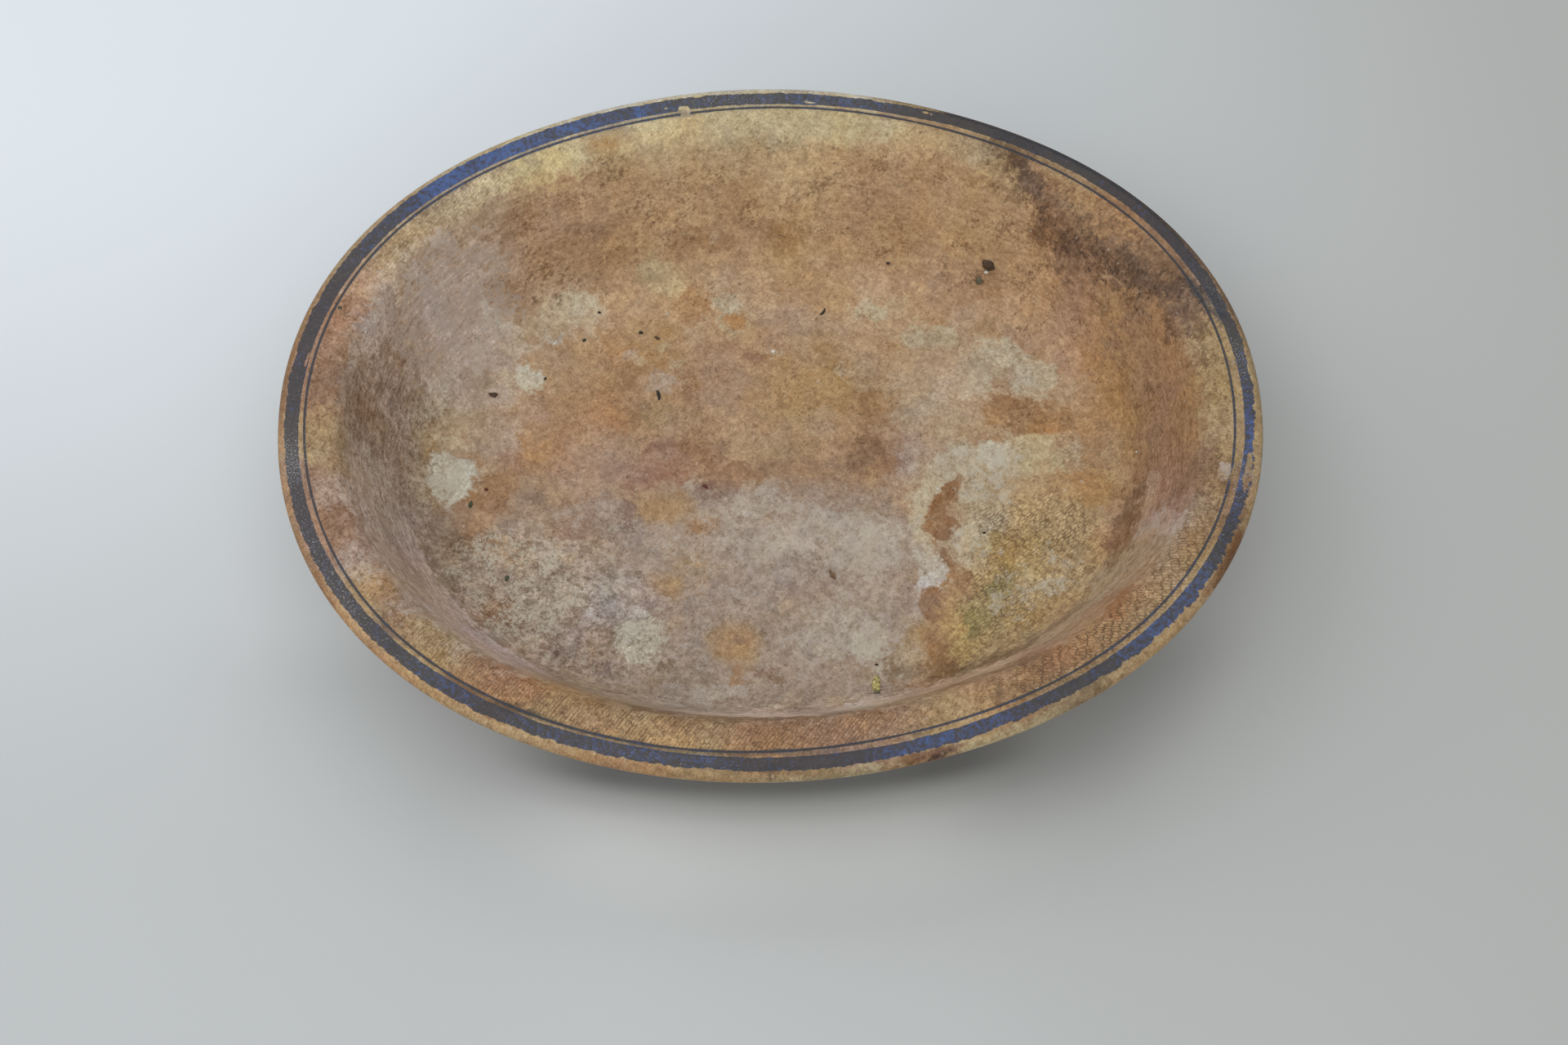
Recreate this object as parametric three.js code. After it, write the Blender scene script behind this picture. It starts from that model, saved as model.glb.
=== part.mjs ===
// An oval porcelain dish: deep well, flat flange, rounded lip, cobalt band and line, luted oval foot.
// Millimetres, +Z up, X along the long axis. Origin on the ground, under the middle of the foot.
import * as THREE from 'three';

// ---- driving dimensions (mm) ----
const LENGTH = 227.0;          // over the lip, along X
const WIDTH = 177.0;           // over the lip, along Y
const OVAL_POWER = 2.065;      // 2 is a true ellipse, more is squarer on the diagonals
const LIP_RADIUS = 2.0;        // roundness of the lip
const LIP_TOP = 42.0;          // height of the glazed lip above the ground
const FLOOR_TOP = 7.8;         // glazed well floor, at its middle
const BASE_UNDER = 3.2;        // underside of the clay, where the foot is luted on
const GLAZE = 0.4;             // thickness of the fired glaze coats
const PAINT = 0.12;            // thickness of the painted rings
const BAND_OUT = 2.0;          // cobalt band: from here ...
const BAND_IN = 5.2;           // ... to here, measured inward from the edge
const LINE_OUT = 6.1;          // fine line: from here ...
const LINE_IN = 6.9;           // ... to here
const FOOT_OUT = 32.0;         // foot: outer side, measured inward from the edge
const FOOT_IN = 38.0;          // foot: inner side
const FOOT_TREAD = 0.8;        // how far each side of the foot draws in towards its tread
const KEEP_EVEN = 44.0;        // rings stay parallel to the edge this far in, then shrink to the centre
const SEGMENTS = 48;           // steps around the oval

const A = LENGTH / 2;
const B = WIDTH / 2;
const SPAN = 100;              // lathe radius that stands for the edge

// Point of the outer edge and its outward normal, at step k around the oval.
function edge(k) {
  const t = (2 * Math.PI * (k % SEGMENTS)) / SEGMENTS;
  const phi = Math.atan2(B * Math.sin(t), A * Math.cos(t));
  const c = Math.cos(phi);
  const s = Math.sin(phi);
  const n = OVAL_POWER;
  const r = (Math.abs(c / A) ** n + Math.abs(s / B) ** n) ** (-1 / n);
  const x = r * c;
  const y = r * s;
  let nx = (Math.sign(x) * Math.abs(x / A) ** (n - 1)) / A;
  let ny = (Math.sign(y) * Math.abs(y / B) ** (n - 1)) / B;
  const len = Math.hypot(nx, ny);
  nx /= len;
  ny /= len;
  return { x, y, nx, ny };
}

// Turns a profile of [distance in from the edge, height] points into an oval solid.
// The profile is lathed, and each ring of the lathe is then laid on its own oval.
function ovalSolid(profile) {
  const points = profile.map(([d, z]) => new THREE.Vector2(SPAN - d, z));
  const geometry = new THREE.LatheGeometry(points, SEGMENTS);
  const position = geometry.getAttribute('position');
  const count = profile.length;
  for (let i = 0; i < position.count; i += 1) {
    const e = edge(Math.floor(i / count));
    const [d, z] = profile[i % count];
    const even = Math.min(d, KEEP_EVEN);
    const shrink = d <= KEEP_EVEN ? 1 : (SPAN - d) / (SPAN - KEEP_EVEN);
    position.setXYZ(i, (e.x - e.nx * even) * shrink, (e.y - e.ny * even) * shrink, z);
  }
  geometry.deleteAttribute('uv');
  const index = geometry.getIndex().array;
  let volume = 0;
  const a = new THREE.Vector3();
  const b = new THREE.Vector3();
  const c = new THREE.Vector3();
  for (let i = 0; i < index.length; i += 3) {
    a.fromBufferAttribute(position, index[i]);
    b.fromBufferAttribute(position, index[i + 1]);
    c.fromBufferAttribute(position, index[i + 2]);
    volume += a.dot(b.cross(c));
  }
  if (volume < 0) {
    for (let i = 0; i < index.length; i += 3) [index[i], index[i + 1]] = [index[i + 1], index[i]];
  }
  geometry.computeVertexNormals();
  return geometry;
}

// Moves a profile sideways by a distance, along the mean normal at each point.
function inset(profile, distance) {
  return profile.map(([d, z], i) => {
    const [d0, z0] = profile[Math.max(i - 1, 0)];
    const [d1, z1] = profile[Math.min(i + 1, profile.length - 1)];
    if (d >= SPAN) return [d, z - distance];
    if (d === 0) return [distance > 0 ? distance : -distance, z];
    const len = Math.hypot(d1 - d0, z1 - z0);
    return [d + ((z1 - z0) / len) * distance, z - ((d1 - d0) / len) * distance];
  });
}

// ---- the glazed surfaces, as [in from the edge, height], starting at the outermost point of the lip ----
const LIP_MID = LIP_TOP - LIP_RADIUS;
const ARC = LIP_RADIUS * Math.SQRT1_2;
const upperFace = [
  [0, LIP_MID],
  [LIP_RADIUS - ARC, LIP_MID + ARC],
  [BAND_OUT, LIP_TOP],
  [BAND_IN, LIP_TOP - 0.06],
  [LINE_OUT, LIP_TOP - 0.1],
  [LINE_IN, LIP_TOP - 0.15],
  [11.2, LIP_TOP - 0.55],
  [13.6, LIP_TOP - 1.45],
  [15.4, LIP_TOP - 3.6],
  [18.4, LIP_TOP - 10.5],
  [22.4, LIP_TOP - 20.5],
  [25.4, LIP_TOP - 27.2],
  [28.6, LIP_TOP - 31.4],
  [33.0, FLOOR_TOP + 1.0],
  [KEEP_EVEN, FLOOR_TOP + 0.35],
  [SPAN, FLOOR_TOP],
];
const outerFace = [
  [0, LIP_MID],
  [LIP_RADIUS - ARC, LIP_MID - ARC],
  [LIP_RADIUS, LIP_MID - LIP_RADIUS],
  [8.6, LIP_MID - LIP_RADIUS - 0.5],
  [11.4, LIP_MID - LIP_RADIUS - 2.2],
  [14.6, LIP_MID - 11.6],
  [18.2, LIP_MID - 20.6],
  [21.4, LIP_MID - 27.8],
  [24.8, LIP_MID - 32.8],
  [28.6, BASE_UNDER + 0.9],
  [FOOT_OUT, BASE_UNDER - GLAZE],
];

// ---- clay body: the glazed surfaces drawn in by the coat, with a flat seat for the foot ----
const upperClay = inset(upperFace, GLAZE);
const outerClay = inset(outerFace, -GLAZE).map(([d, z], i, all) => (i === all.length - 1 ? [FOOT_OUT, BASE_UNDER] : [d, z]));
const baseClay = [
  [FOOT_OUT, BASE_UNDER],
  [FOOT_IN, BASE_UNDER],
  [KEEP_EVEN, BASE_UNDER],
  [SPAN, BASE_UNDER],
];
const bodyProfile = [...upperClay.slice().reverse(), ...outerClay.slice(1), ...baseClay.slice(1)];

// ---- glaze coats: closed shells between the clay and the glazed surface ----
// The clay side of each coat runs the same way as it does on the body, so that both have the same facets there.
const upperCoat = [...upperClay.slice().reverse(), ...upperFace];
const outerCoat = [...outerClay, ...outerFace.slice().reverse(), outerClay[0]];
const baseCoat = [
  [SPAN, BASE_UNDER - GLAZE],
  [KEEP_EVEN, BASE_UNDER - GLAZE],
  [FOOT_IN, BASE_UNDER - GLAZE],
  [FOOT_IN, BASE_UNDER],
  [KEEP_EVEN, BASE_UNDER],
  [SPAN, BASE_UNDER],
];

// ---- foot: an oval ring with a flat tread; its upper corners meet the two coats face to face ----
const footProfile = [
  [FOOT_OUT, BASE_UNDER],
  [FOOT_OUT, BASE_UNDER - GLAZE],
  [FOOT_OUT + FOOT_TREAD, 0],
  [FOOT_IN - FOOT_TREAD, 0],
  [FOOT_IN, BASE_UNDER - GLAZE],
  [FOOT_IN, BASE_UNDER],
  [FOOT_OUT, BASE_UNDER],
];

// ---- painted rings: thin fired layers on the upper coat ----
function paintedRing(outer, inner) {
  const low = upperFace.filter(([d]) => d >= outer && d <= inner);
  const high = low.map(([d, z], i) => [d + (i === 0 ? 0.05 : -0.05), z + PAINT]);
  return [...low, ...high.reverse(), low[0]];
}

function piece(name, profile, color, roughness) {
  const material = new THREE.MeshStandardMaterial({ color, roughness, metalness: 0 });
  const mesh = new THREE.Mesh(ovalSolid(profile), material);
  mesh.name = name;
  return mesh;
}

const dish = new THREE.Group();
dish.add(piece('dish_body', bodyProfile, 0xd9c7a4, 0.85));
dish.add(piece('foot_ring', footProfile, 0xcbb48c, 0.9));
dish.add(piece('glaze_upper', upperCoat, 0xa8865a, 0.4));
dish.add(piece('glaze_outer', outerCoat, 0xb8955f, 0.4));
dish.add(piece('glaze_base', baseCoat, 0xb8955f, 0.4));
dish.add(piece('rim_band', paintedRing(BAND_OUT, BAND_IN), 0x3a4152, 0.45));
dish.add(piece('rim_line', paintedRing(LINE_OUT, LINE_IN), 0x3a4152, 0.45));

export default dish;
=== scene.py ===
import math

import bpy
import numpy as np
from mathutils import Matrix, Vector


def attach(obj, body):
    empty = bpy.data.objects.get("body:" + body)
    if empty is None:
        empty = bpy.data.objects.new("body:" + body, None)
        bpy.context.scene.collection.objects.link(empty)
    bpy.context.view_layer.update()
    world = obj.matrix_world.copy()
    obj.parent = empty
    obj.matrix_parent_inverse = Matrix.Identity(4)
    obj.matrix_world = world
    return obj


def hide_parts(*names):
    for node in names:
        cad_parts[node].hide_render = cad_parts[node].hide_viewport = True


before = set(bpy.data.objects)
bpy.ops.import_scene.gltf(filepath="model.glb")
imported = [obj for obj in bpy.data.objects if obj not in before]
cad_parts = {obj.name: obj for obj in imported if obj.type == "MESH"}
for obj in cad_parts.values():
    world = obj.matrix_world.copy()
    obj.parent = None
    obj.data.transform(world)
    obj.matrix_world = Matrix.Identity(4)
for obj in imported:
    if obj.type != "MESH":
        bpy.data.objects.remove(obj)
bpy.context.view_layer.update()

MM = 0.001

# ------------------------------------------------------------------------------------------------
# Shape of the dish, in millimetres. "d" is the distance in from the edge, "z" the height.
# ------------------------------------------------------------------------------------------------
A, B, POWER = 113.5, 88.5, 2.065          # half length, half width, roundness of the oval
KEEP_EVEN = 44.0                          # rings run parallel to the edge this far in
SPAN = 100.0                              # d at the very middle
LIP_R, LIP_MID = 2.0, 40.0
GLAZE = 0.38
BASE_UNDER = 3.2
FOOT_OUT, FOOT_IN = 32.0, 38.0

# The rim was drawn by hand, so the oval is a little uneven: cosine and sine of 1, 2, 3 ... turns.
RIM_WANDER = ((0.326, 0.357), (0.124, -0.157), (0.443, 0.123), (0.073, -0.137), (0.083, 0.116), (-0.199, 0.001))
RIM_SAG = ((0.10, -0.06), (-0.14, 0.08), (0.05, 0.05))
LINE_WANDER = ((0.098, -0.237), (0.12, -0.329), (0.06, -0.101), (0.073, 0.103))

UPPER = [
    (2.0, 42.0), (5.2, 41.94), (6.1, 41.9), (6.9, 41.85), (9.0, 41.7), (11.2, 41.42), (13.2, 40.65), (14.6, 39.3),
    (15.7, 37.5), (18.4, 31.3), (20.4, 26.4), (22.4, 21.5), (24.0, 17.7), (25.6, 14.5), (27.3, 12.0), (29.4, 10.2),
    (32.6, 9.0), (37.0, 8.45), (44.0, 8.15), (60.0, 7.95), (80.0, 7.84), (100.0, 7.8),
]
OUTER = [
    (2.0, 38.0), (5.0, 37.82), (8.2, 37.45), (10.2, 36.6), (11.6, 35.2), (14.6, 28.4), (18.2, 19.4), (21.4, 12.3),
    (24.8, 7.2), (28.4, 4.2), (32.0, 2.8),
]


def smooth(x, lo, hi):
    u = np.clip((np.asarray(x, dtype=float) - lo) / (hi - lo), 0.0, 1.0)
    return u * u * (3.0 - 2.0 * u)


def turns(table, phi):
    return sum(c * np.cos((k + 1) * phi) + s * np.sin((k + 1) * phi) for k, (c, s) in enumerate(table))


def spline(points, step):
    """A smooth curve through the points (natural cubic over chord length), sampled about every step mm."""
    p = np.array(points, dtype=float)
    h = np.hypot(*np.diff(p, axis=0).T)
    s = np.r_[0.0, np.cumsum(h)]
    n = len(p)
    m = np.zeros((n, n))
    r = np.zeros((n, 2))
    m[0, 0] = m[-1, -1] = 1.0
    for i in range(1, n - 1):
        m[i, i - 1:i + 2] = h[i - 1], 2 * (h[i - 1] + h[i]), h[i]
        r[i] = 6 * ((p[i + 1] - p[i]) / h[i] - (p[i] - p[i - 1]) / h[i - 1])
    k = np.linalg.solve(m, r)
    q = np.linspace(0.0, s[-1], int(s[-1] / step) + 2)
    i = np.clip(np.searchsorted(s, q, side="right") - 1, 0, n - 2)
    t0, t1, hi = (q - s[i])[:, None], (s[i + 1] - q)[:, None], h[i][:, None]
    return (k[i] * t1 ** 3 + k[i + 1] * t0 ** 3) / (6 * hi) + (p[i] / hi - k[i] * hi / 6) * t1 + (p[i + 1] / hi - k[i + 1] * hi / 6) * t0


def lip_arc(a0, a1, n):
    a = np.radians(np.linspace(a0, a1, n))
    return np.c_[LIP_R + LIP_R * np.cos(a), LIP_MID + LIP_R * np.sin(a)]


upper_curve = np.r_[lip_arc(180, 92, 40), spline(UPPER, 0.05)]
outer_curve = np.r_[lip_arc(180, 268, 40), spline(OUTER, 0.05)]


def pick(curve, steps):
    """Points along a curve with a spacing that depends on d: steps is [(up to d, spacing), ...]. Gives d, z, length."""
    length = np.r_[0.0, np.cumsum(np.hypot(*np.diff(curve, axis=0).T))]
    out, at = [0.0], 0.0
    while True:
        d = np.interp(at, length, curve[:, 0])
        gap = next((g for top, g in steps if d < top), steps[-1][1])
        at += gap
        if at >= length[-1] - 0.3 * gap:
            break
        out.append(at)
    out.append(length[-1])
    return np.c_[np.interp(out, length, curve[:, 0]), np.interp(out, length, curve[:, 1]), out]


def edge(t):
    phi = np.arctan2(B * np.sin(t), A * np.cos(t))
    c, s = np.cos(phi), np.sin(phi)
    r = (np.abs(c / A) ** POWER + np.abs(s / B) ** POWER) ** (-1.0 / POWER)
    x, y = r * c, r * s
    nx = np.sign(x) * np.abs(x / A) ** (POWER - 1) / A
    ny = np.sign(y) * np.abs(y / B) ** (POWER - 1) / B
    ln = np.hypot(nx, ny)
    return x, y, nx / ln, ny / ln, phi


def lay(t, d, z):
    """The point at d in from the edge and height z, at step t round the oval, with the rim's unevenness."""
    x, y, nx, ny, phi = edge(t)
    fade = 1.0 - smooth(d, 12.0, 36.0)
    even = np.minimum(d, KEEP_EVEN) - turns(RIM_WANDER, phi) * fade
    shrink = np.where(d <= KEEP_EVEN, 1.0, (SPAN - d) / (SPAN - KEEP_EVEN))
    up = smooth(z, 3.0, 30.0) * turns(RIM_SAG, phi) * fade
    return np.stack([(x - nx * even) * shrink, (y - ny * even) * shrink, z + up], axis=-1)


def round_steps(n):
    return np.arange(n) * (2 * math.pi / n)


_t = np.linspace(0.0, 2 * math.pi, 7201)
_ex, _ey = edge(_t)[:2]
_arc = np.r_[0.0, np.cumsum(np.hypot(np.diff(_ex), np.diff(_ey)))]
RIM_LENGTH = float(_arc[-1])


def arc_at(t):
    """Distance walked along the edge, in mm, at step t."""
    return np.interp(t, _t, _arc)


def upper_z(d):
    return np.interp(d, upper_curve[:, 0], upper_curve[:, 1])


def slopes(prof, sign):
    """Normals (along d, along z) of a profile; sign is 1 for the upper face and -1 for the outer one."""
    g = np.gradient(prof[:, :2], axis=0)
    g /= np.maximum(np.hypot(g[:, 0], g[:, 1])[:, None], 1e-9)
    return np.c_[-g[:, 1], g[:, 0]] * sign


def off(t, nd, nz):
    """A profile normal turned to where step t is on the oval."""
    _, _, nx, ny, _ = edge(t)
    return np.stack([-nx * nd, -ny * nd, np.full_like(nx, nz)], axis=-1)


# ------------------------------------------------------------------------------------------------
# Mesh helpers
# ------------------------------------------------------------------------------------------------
def stitch(a0, n, b0, m):
    """Faces between two rings of n and m points that both start at step 0."""
    if n == m:
        j = np.arange(n)
        k = (j + 1) % n
        return [tuple(q) for q in np.stack([a0 + j, a0 + k, b0 + k, b0 + j], axis=-1).tolist()]
    out, i, j = [], 0, 0
    while i < n or j < m:
        if i < n and (j >= m or (i + 1) * m <= (j + 1) * n):
            out.append((a0 + i, a0 + (i + 1) % n, b0 + j % m))
            i += 1
        else:
            out.append((a0 + i % n, b0 + (j + 1) % m, b0 + j))
            j += 1
    return out


def skin(rings, start=None, end=None, closed=False):
    """One closed skin over a stack of rings. start and end are pole points; closed joins the last ring to the first."""
    at = np.r_[0, np.cumsum([len(r) for r in rings])]
    verts = np.concatenate(rings, axis=0)
    faces = []
    for k in range(len(rings) - (0 if closed else 1)):
        b = (k + 1) % len(rings)
        faces += stitch(int(at[k]), len(rings[k]), int(at[b]), len(rings[b]))
    if start is not None:
        verts = np.r_[verts, [start]]
        n, c = len(rings[0]), len(verts) - 1
        faces += [(c, (a + 1) % n, a) for a in range(n)]
    if end is not None:
        verts = np.r_[verts, [end]]
        n, c, o = len(rings[-1]), len(verts) - 1, int(at[-2])
        faces += [(o + a, o + (a + 1) % n, c) for a in range(n)]
    return verts, faces


def make(name, verts, faces, sharp=None, flip=False):
    me = bpy.data.meshes.new(name)
    me.from_pydata((np.asarray(verts) * MM).tolist(), [], [tuple(reversed(f)) for f in faces] if flip else faces)
    me.polygons.foreach_set("use_smooth", np.ones(len(me.polygons), dtype=bool))
    if sharp is not None:
        me.set_sharp_from_angle(angle=math.radians(sharp))
    me.update()
    ob = bpy.data.objects.new(name, me)
    bpy.context.scene.collection.objects.link(ob)
    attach(ob, "root")
    return ob


def outward(verts, faces):
    """True if the faces of a closed skin point out (signed volume by fans)."""
    v = np.asarray(verts)
    tri = np.array([(f[0], f[i], f[i + 1]) for f in faces for i in range(1, len(f) - 1)])
    a, b, c = v[tri[:, 0]], v[tri[:, 1]], v[tri[:, 2]]
    return np.einsum("ij,ij->i", a, np.cross(b, c)).sum() > 0


def solid(name, verts, faces, sharp=None):
    return make(name, verts, faces, sharp, flip=not outward(verts, faces))


def colour_attribute(ob, name, rgb):
    at = ob.data.attributes.new(name, "FLOAT_COLOR", "POINT")
    at.data.foreach_set("color", np.c_[rgb, np.ones(len(rgb))].astype(np.float32).ravel())


def strip_map(ob, along, across):
    """A map named strip: millimetres round the rim and millimetres across it, joined up where the round closes."""
    me = ob.data
    n = len(me.loops)
    vi = np.empty(n, dtype=np.int64)
    me.loops.foreach_get("vertex_index", vi)
    first = np.empty(len(me.polygons), dtype=np.int64)
    me.polygons.foreach_get("loop_start", first)
    u, v = along[vi].copy(), across[vi]
    count = np.diff(np.r_[first, n])
    hi = np.repeat(np.maximum.reduceat(u, first), count)
    lo = np.repeat(np.minimum.reduceat(u, first), count)
    u[(hi - lo > RIM_LENGTH / 2) & (u < RIM_LENGTH / 2)] += RIM_LENGTH
    uv = me.uv_layers.new(name="strip")
    uv.data.foreach_set("uv", np.c_[u, v].astype(np.float32).ravel())


# ------------------------------------------------------------------------------------------------
# Fine irregularity: gradient noise on the surface, in millimetres
# ------------------------------------------------------------------------------------------------
_DIRS = np.array([(1, 1, 0), (-1, 1, 0), (1, -1, 0), (-1, -1, 0), (1, 0, 1), (-1, 0, 1), (1, 0, -1), (-1, 0, -1),
                  (0, 1, 1), (0, -1, 1), (0, 1, -1), (0, -1, -1), (1, 1, 0), (-1, 1, 0), (0, -1, 1), (0, -1, -1)], dtype=float)


def _scramble(i, j, k, seed):
    h = i.astype(np.uint32) * np.uint32(374761393) + j.astype(np.uint32) * np.uint32(668265263)
    h = h + k.astype(np.uint32) * np.uint32(2246822519) + np.uint32((seed * 3266489917) & 0xFFFFFFFF)
    h = (h ^ (h >> np.uint32(13))) * np.uint32(1274126177)
    h = (h ^ (h >> np.uint32(15))) * np.uint32(2654435761)
    return (h ^ (h >> np.uint32(16))) & np.uint32(15)


def grain(p, size, seed, octaves=1, rough=0.5):
    """About -1 to 1, with features of the given size in mm."""
    out, amp, total = 0.0, 1.0, 0.0
    for o in range(octaves):
        a = 2.399 * (seed + 3 * o) + 0.6
        q = p @ np.array([(math.cos(a), 0.83 * math.sin(a), 0.56 * math.sin(a)), (-math.sin(a), 0.83 * math.cos(a), 0.56 * math.cos(a)), (0.0, -0.56, 0.83)]) / size
        q = q + seed * 7.31 + o * 13.7
        i = np.floor(q).astype(np.int64)
        f = q - i
        u = f * f * f * (f * (f * 6 - 15) + 10)
        n = np.zeros(len(p))
        for a in (0, 1):
            for b in (0, 1):
                for c in (0, 1):
                    g = _DIRS[_scramble(i[:, 0] + a, i[:, 1] + b, i[:, 2] + c, seed + o)]
                    w = (u[:, 0] if a else 1 - u[:, 0]) * (u[:, 1] if b else 1 - u[:, 1]) * (u[:, 2] if c else 1 - u[:, 2])
                    n += w * ((f[:, 0] - a) * g[:, 0] + (f[:, 1] - b) * g[:, 1] + (f[:, 2] - c) * g[:, 2])
        out = out + amp * n * 1.5
        total += amp * amp
        amp *= rough
        size = size * 0.5
    return out / math.sqrt(total)


# ------------------------------------------------------------------------------------------------
# Colours of the stained glaze (linear)
# ------------------------------------------------------------------------------------------------
CREAM = (0.468, 0.374, 0.216)
PALE = (0.440, 0.358, 0.243)
LIME = (0.480, 0.428, 0.345)
ASH = (0.385, 0.330, 0.272)
LILAC = (0.470, 0.378, 0.315)
MAUVE = (0.330, 0.258, 0.205)
DUSK = (0.290, 0.205, 0.160)
PINK = (0.320, 0.200, 0.142)
SAND = (0.418, 0.280, 0.165)
BELT = (0.440, 0.285, 0.158)
TAN = (0.345, 0.240, 0.124)
HONEY = (0.385, 0.235, 0.122)
AMBER = (0.372, 0.212, 0.103)
ORANGE = (0.322, 0.178, 0.083)
RUST = (0.278, 0.152, 0.072)
BROWN = (0.268, 0.158, 0.094)
UMBER = (0.185, 0.110, 0.062)
SOOT = (0.080, 0.052, 0.036)
PLUM = (0.140, 0.084, 0.062)
OCHRE = (0.420, 0.275, 0.118)
OLIVE = (0.395, 0.280, 0.122)
MOSS = (0.270, 0.225, 0.088)
TERRA = (0.345, 0.203, 0.130)
DRAB = (0.305, 0.215, 0.148)
STRAW = (0.400, 0.268, 0.138)
BUFF = (0.500, 0.350, 0.195)
CLAY_RED = (0.400, 0.250, 0.142)
HAZE = (0.460, 0.352, 0.272)
FAWN = (0.430, 0.290, 0.182)
ROSE = (0.360, 0.242, 0.165)
BLUSH = (0.410, 0.305, 0.222)
PEARL = (0.405, 0.335, 0.268)
STONE = (0.335, 0.268, 0.214)
CHALK = (0.510, 0.455, 0.355)
GOLD = (0.395, 0.242, 0.118)
SIENNA = (0.298, 0.168, 0.086)
COCOA = (0.252, 0.152, 0.100)
MAROON = (0.250, 0.138, 0.094)
DUN = (0.268, 0.200, 0.140)
KHAKI = (0.362, 0.262, 0.165)
LICHEN = (0.340, 0.268, 0.178)
SLATE = (0.072, 0.068, 0.066)


def runs(table, phi):
    """Values or colours given at some degrees round the rim, eased between them. phi in degrees, 0 to 360."""
    table = sorted(table)
    deg = np.array([a for a, _ in table], dtype=float)
    val = np.array([v for _, v in table], dtype=float)
    deg = np.r_[deg[-1] - 360, deg, deg[0] + 360]
    val = np.concatenate([val[-1:], val, val[:1]], axis=0)
    k = np.clip(np.searchsorted(deg, phi, side="right") - 1, 0, len(deg) - 2)
    u = (phi - deg[k]) / (deg[k + 1] - deg[k])
    u = u * u * (3 - 2 * u)
    if val.ndim == 2:
        u = u[:, None]
    return val[k] * (1 - u) + val[k + 1] * u


LIP_RUN = [(2, TAN), (18, UMBER), (30, SOOT), (58, SOOT), (66, TAN), (74, CHALK), (116, CHALK), (132, CREAM), (146, STRAW), (158, TAN), (168, RUST), (178, RUST),
           (184, AMBER), (200, RUST), (212, AMBER), (232, STRAW), (250, AMBER), (262, STRAW), (284, CREAM), (288, RUST), (293, RUST),
           (297, CREAM), (318, STRAW), (333, STRAW), (337, RUST), (343, RUST), (348, STRAW)]
FLANGE_RUN = [(5, TAN), (14, TAN), (20, BROWN), (30, ORANGE), (40, TAN), (50, TAN), (62, STRAW), (74, CREAM), (100, CREAM), (128, CREAM), (136, KHAKI), (150, KHAKI),
              (156, FAWN), (163, TERRA), (176, TERRA), (181, STRAW), (186, STRAW), (190, TERRA), (200, TERRA), (206, STRAW), (214, TAN),
              (220, TAN), (229, ORANGE), (240, TAN), (252, STRAW), (262, TAN), (268, ORANGE), (284, PINK), (292, TAN), (299, STRAW),
              (306, HONEY), (312, TAN), (330, TAN), (342, TAN), (349, BROWN), (356, TAN)]
WALL_RUN = [(0, ORANGE), (14, ORANGE), (26, AMBER), (38, HONEY), (52, BELT), (72, BELT), (84, BUFF), (104, BUFF), (122, BELT), (134, FAWN), (142, HAZE), (150, LILAC),
            (158, BLUSH), (166, DRAB), (182, DRAB), (190, HAZE), (206, HAZE), (222, HAZE), (236, KHAKI), (250, STONE), (260, HAZE), (274, HAZE), (284, PEARL), (294, FAWN),
            (310, FAWN), (322, KHAKI), (340, KHAKI), (350, TERRA)]


def two_tones(p, tint, reach=1.15):
    """The mean colour near each point, how far the two tones found there lie from it, and which of the two the point is nearer to."""
    cell = 0.5
    x, y = p[:, 0] / cell, p[:, 1] / cell
    x, y = x - x.min() + 1.0, y - y.min() + 1.0
    i, j = x.astype(int), y.astype(int)
    fx, fy = x - i, y - j
    wide, high = i.max() + 3, j.max() + 3
    light = tint @ np.array([0.3, 0.5, 0.2])
    rows = np.c_[np.ones(len(p)), tint, light, light * light, tint * light[:, None]]
    spots = [(i + a, j + b, (fx if a else 1 - fx) * (fy if b else 1 - fy)) for a in (0, 1) for b in (0, 1)]
    r = int(math.ceil(3 * reach / cell))
    k = np.exp(-0.5 * (np.arange(-r, r + 1) * cell / reach) ** 2)
    out = []
    for c in range(rows.shape[1]):
        grid = np.zeros((wide + 2 * r, high + 2 * r))
        for a, b, w in spots:
            np.add.at(grid, (a + r, b + r), w * rows[:, c])
        half = sum(k[n] * grid[n:n + wide] for n in range(2 * r + 1))
        full = sum(k[n] * half[:, n:n + high] for n in range(2 * r + 1))
        out.append(sum(w * full[a, b] for a, b, w in spots))
    out = np.array(out).T
    out = out[:, 1:] / out[:, :1]
    mean, level = out[:, :3], out[:, 3]
    spread = np.sqrt(np.maximum(out[:, 4] - level ** 2, 1e-8))
    swing = (out[:, 5:] - mean * level[:, None]) / spread[:, None]
    side = np.clip((light - level) / np.maximum(spread, 0.003), -2.5, 2.5)
    return mean, swing, side


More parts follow.
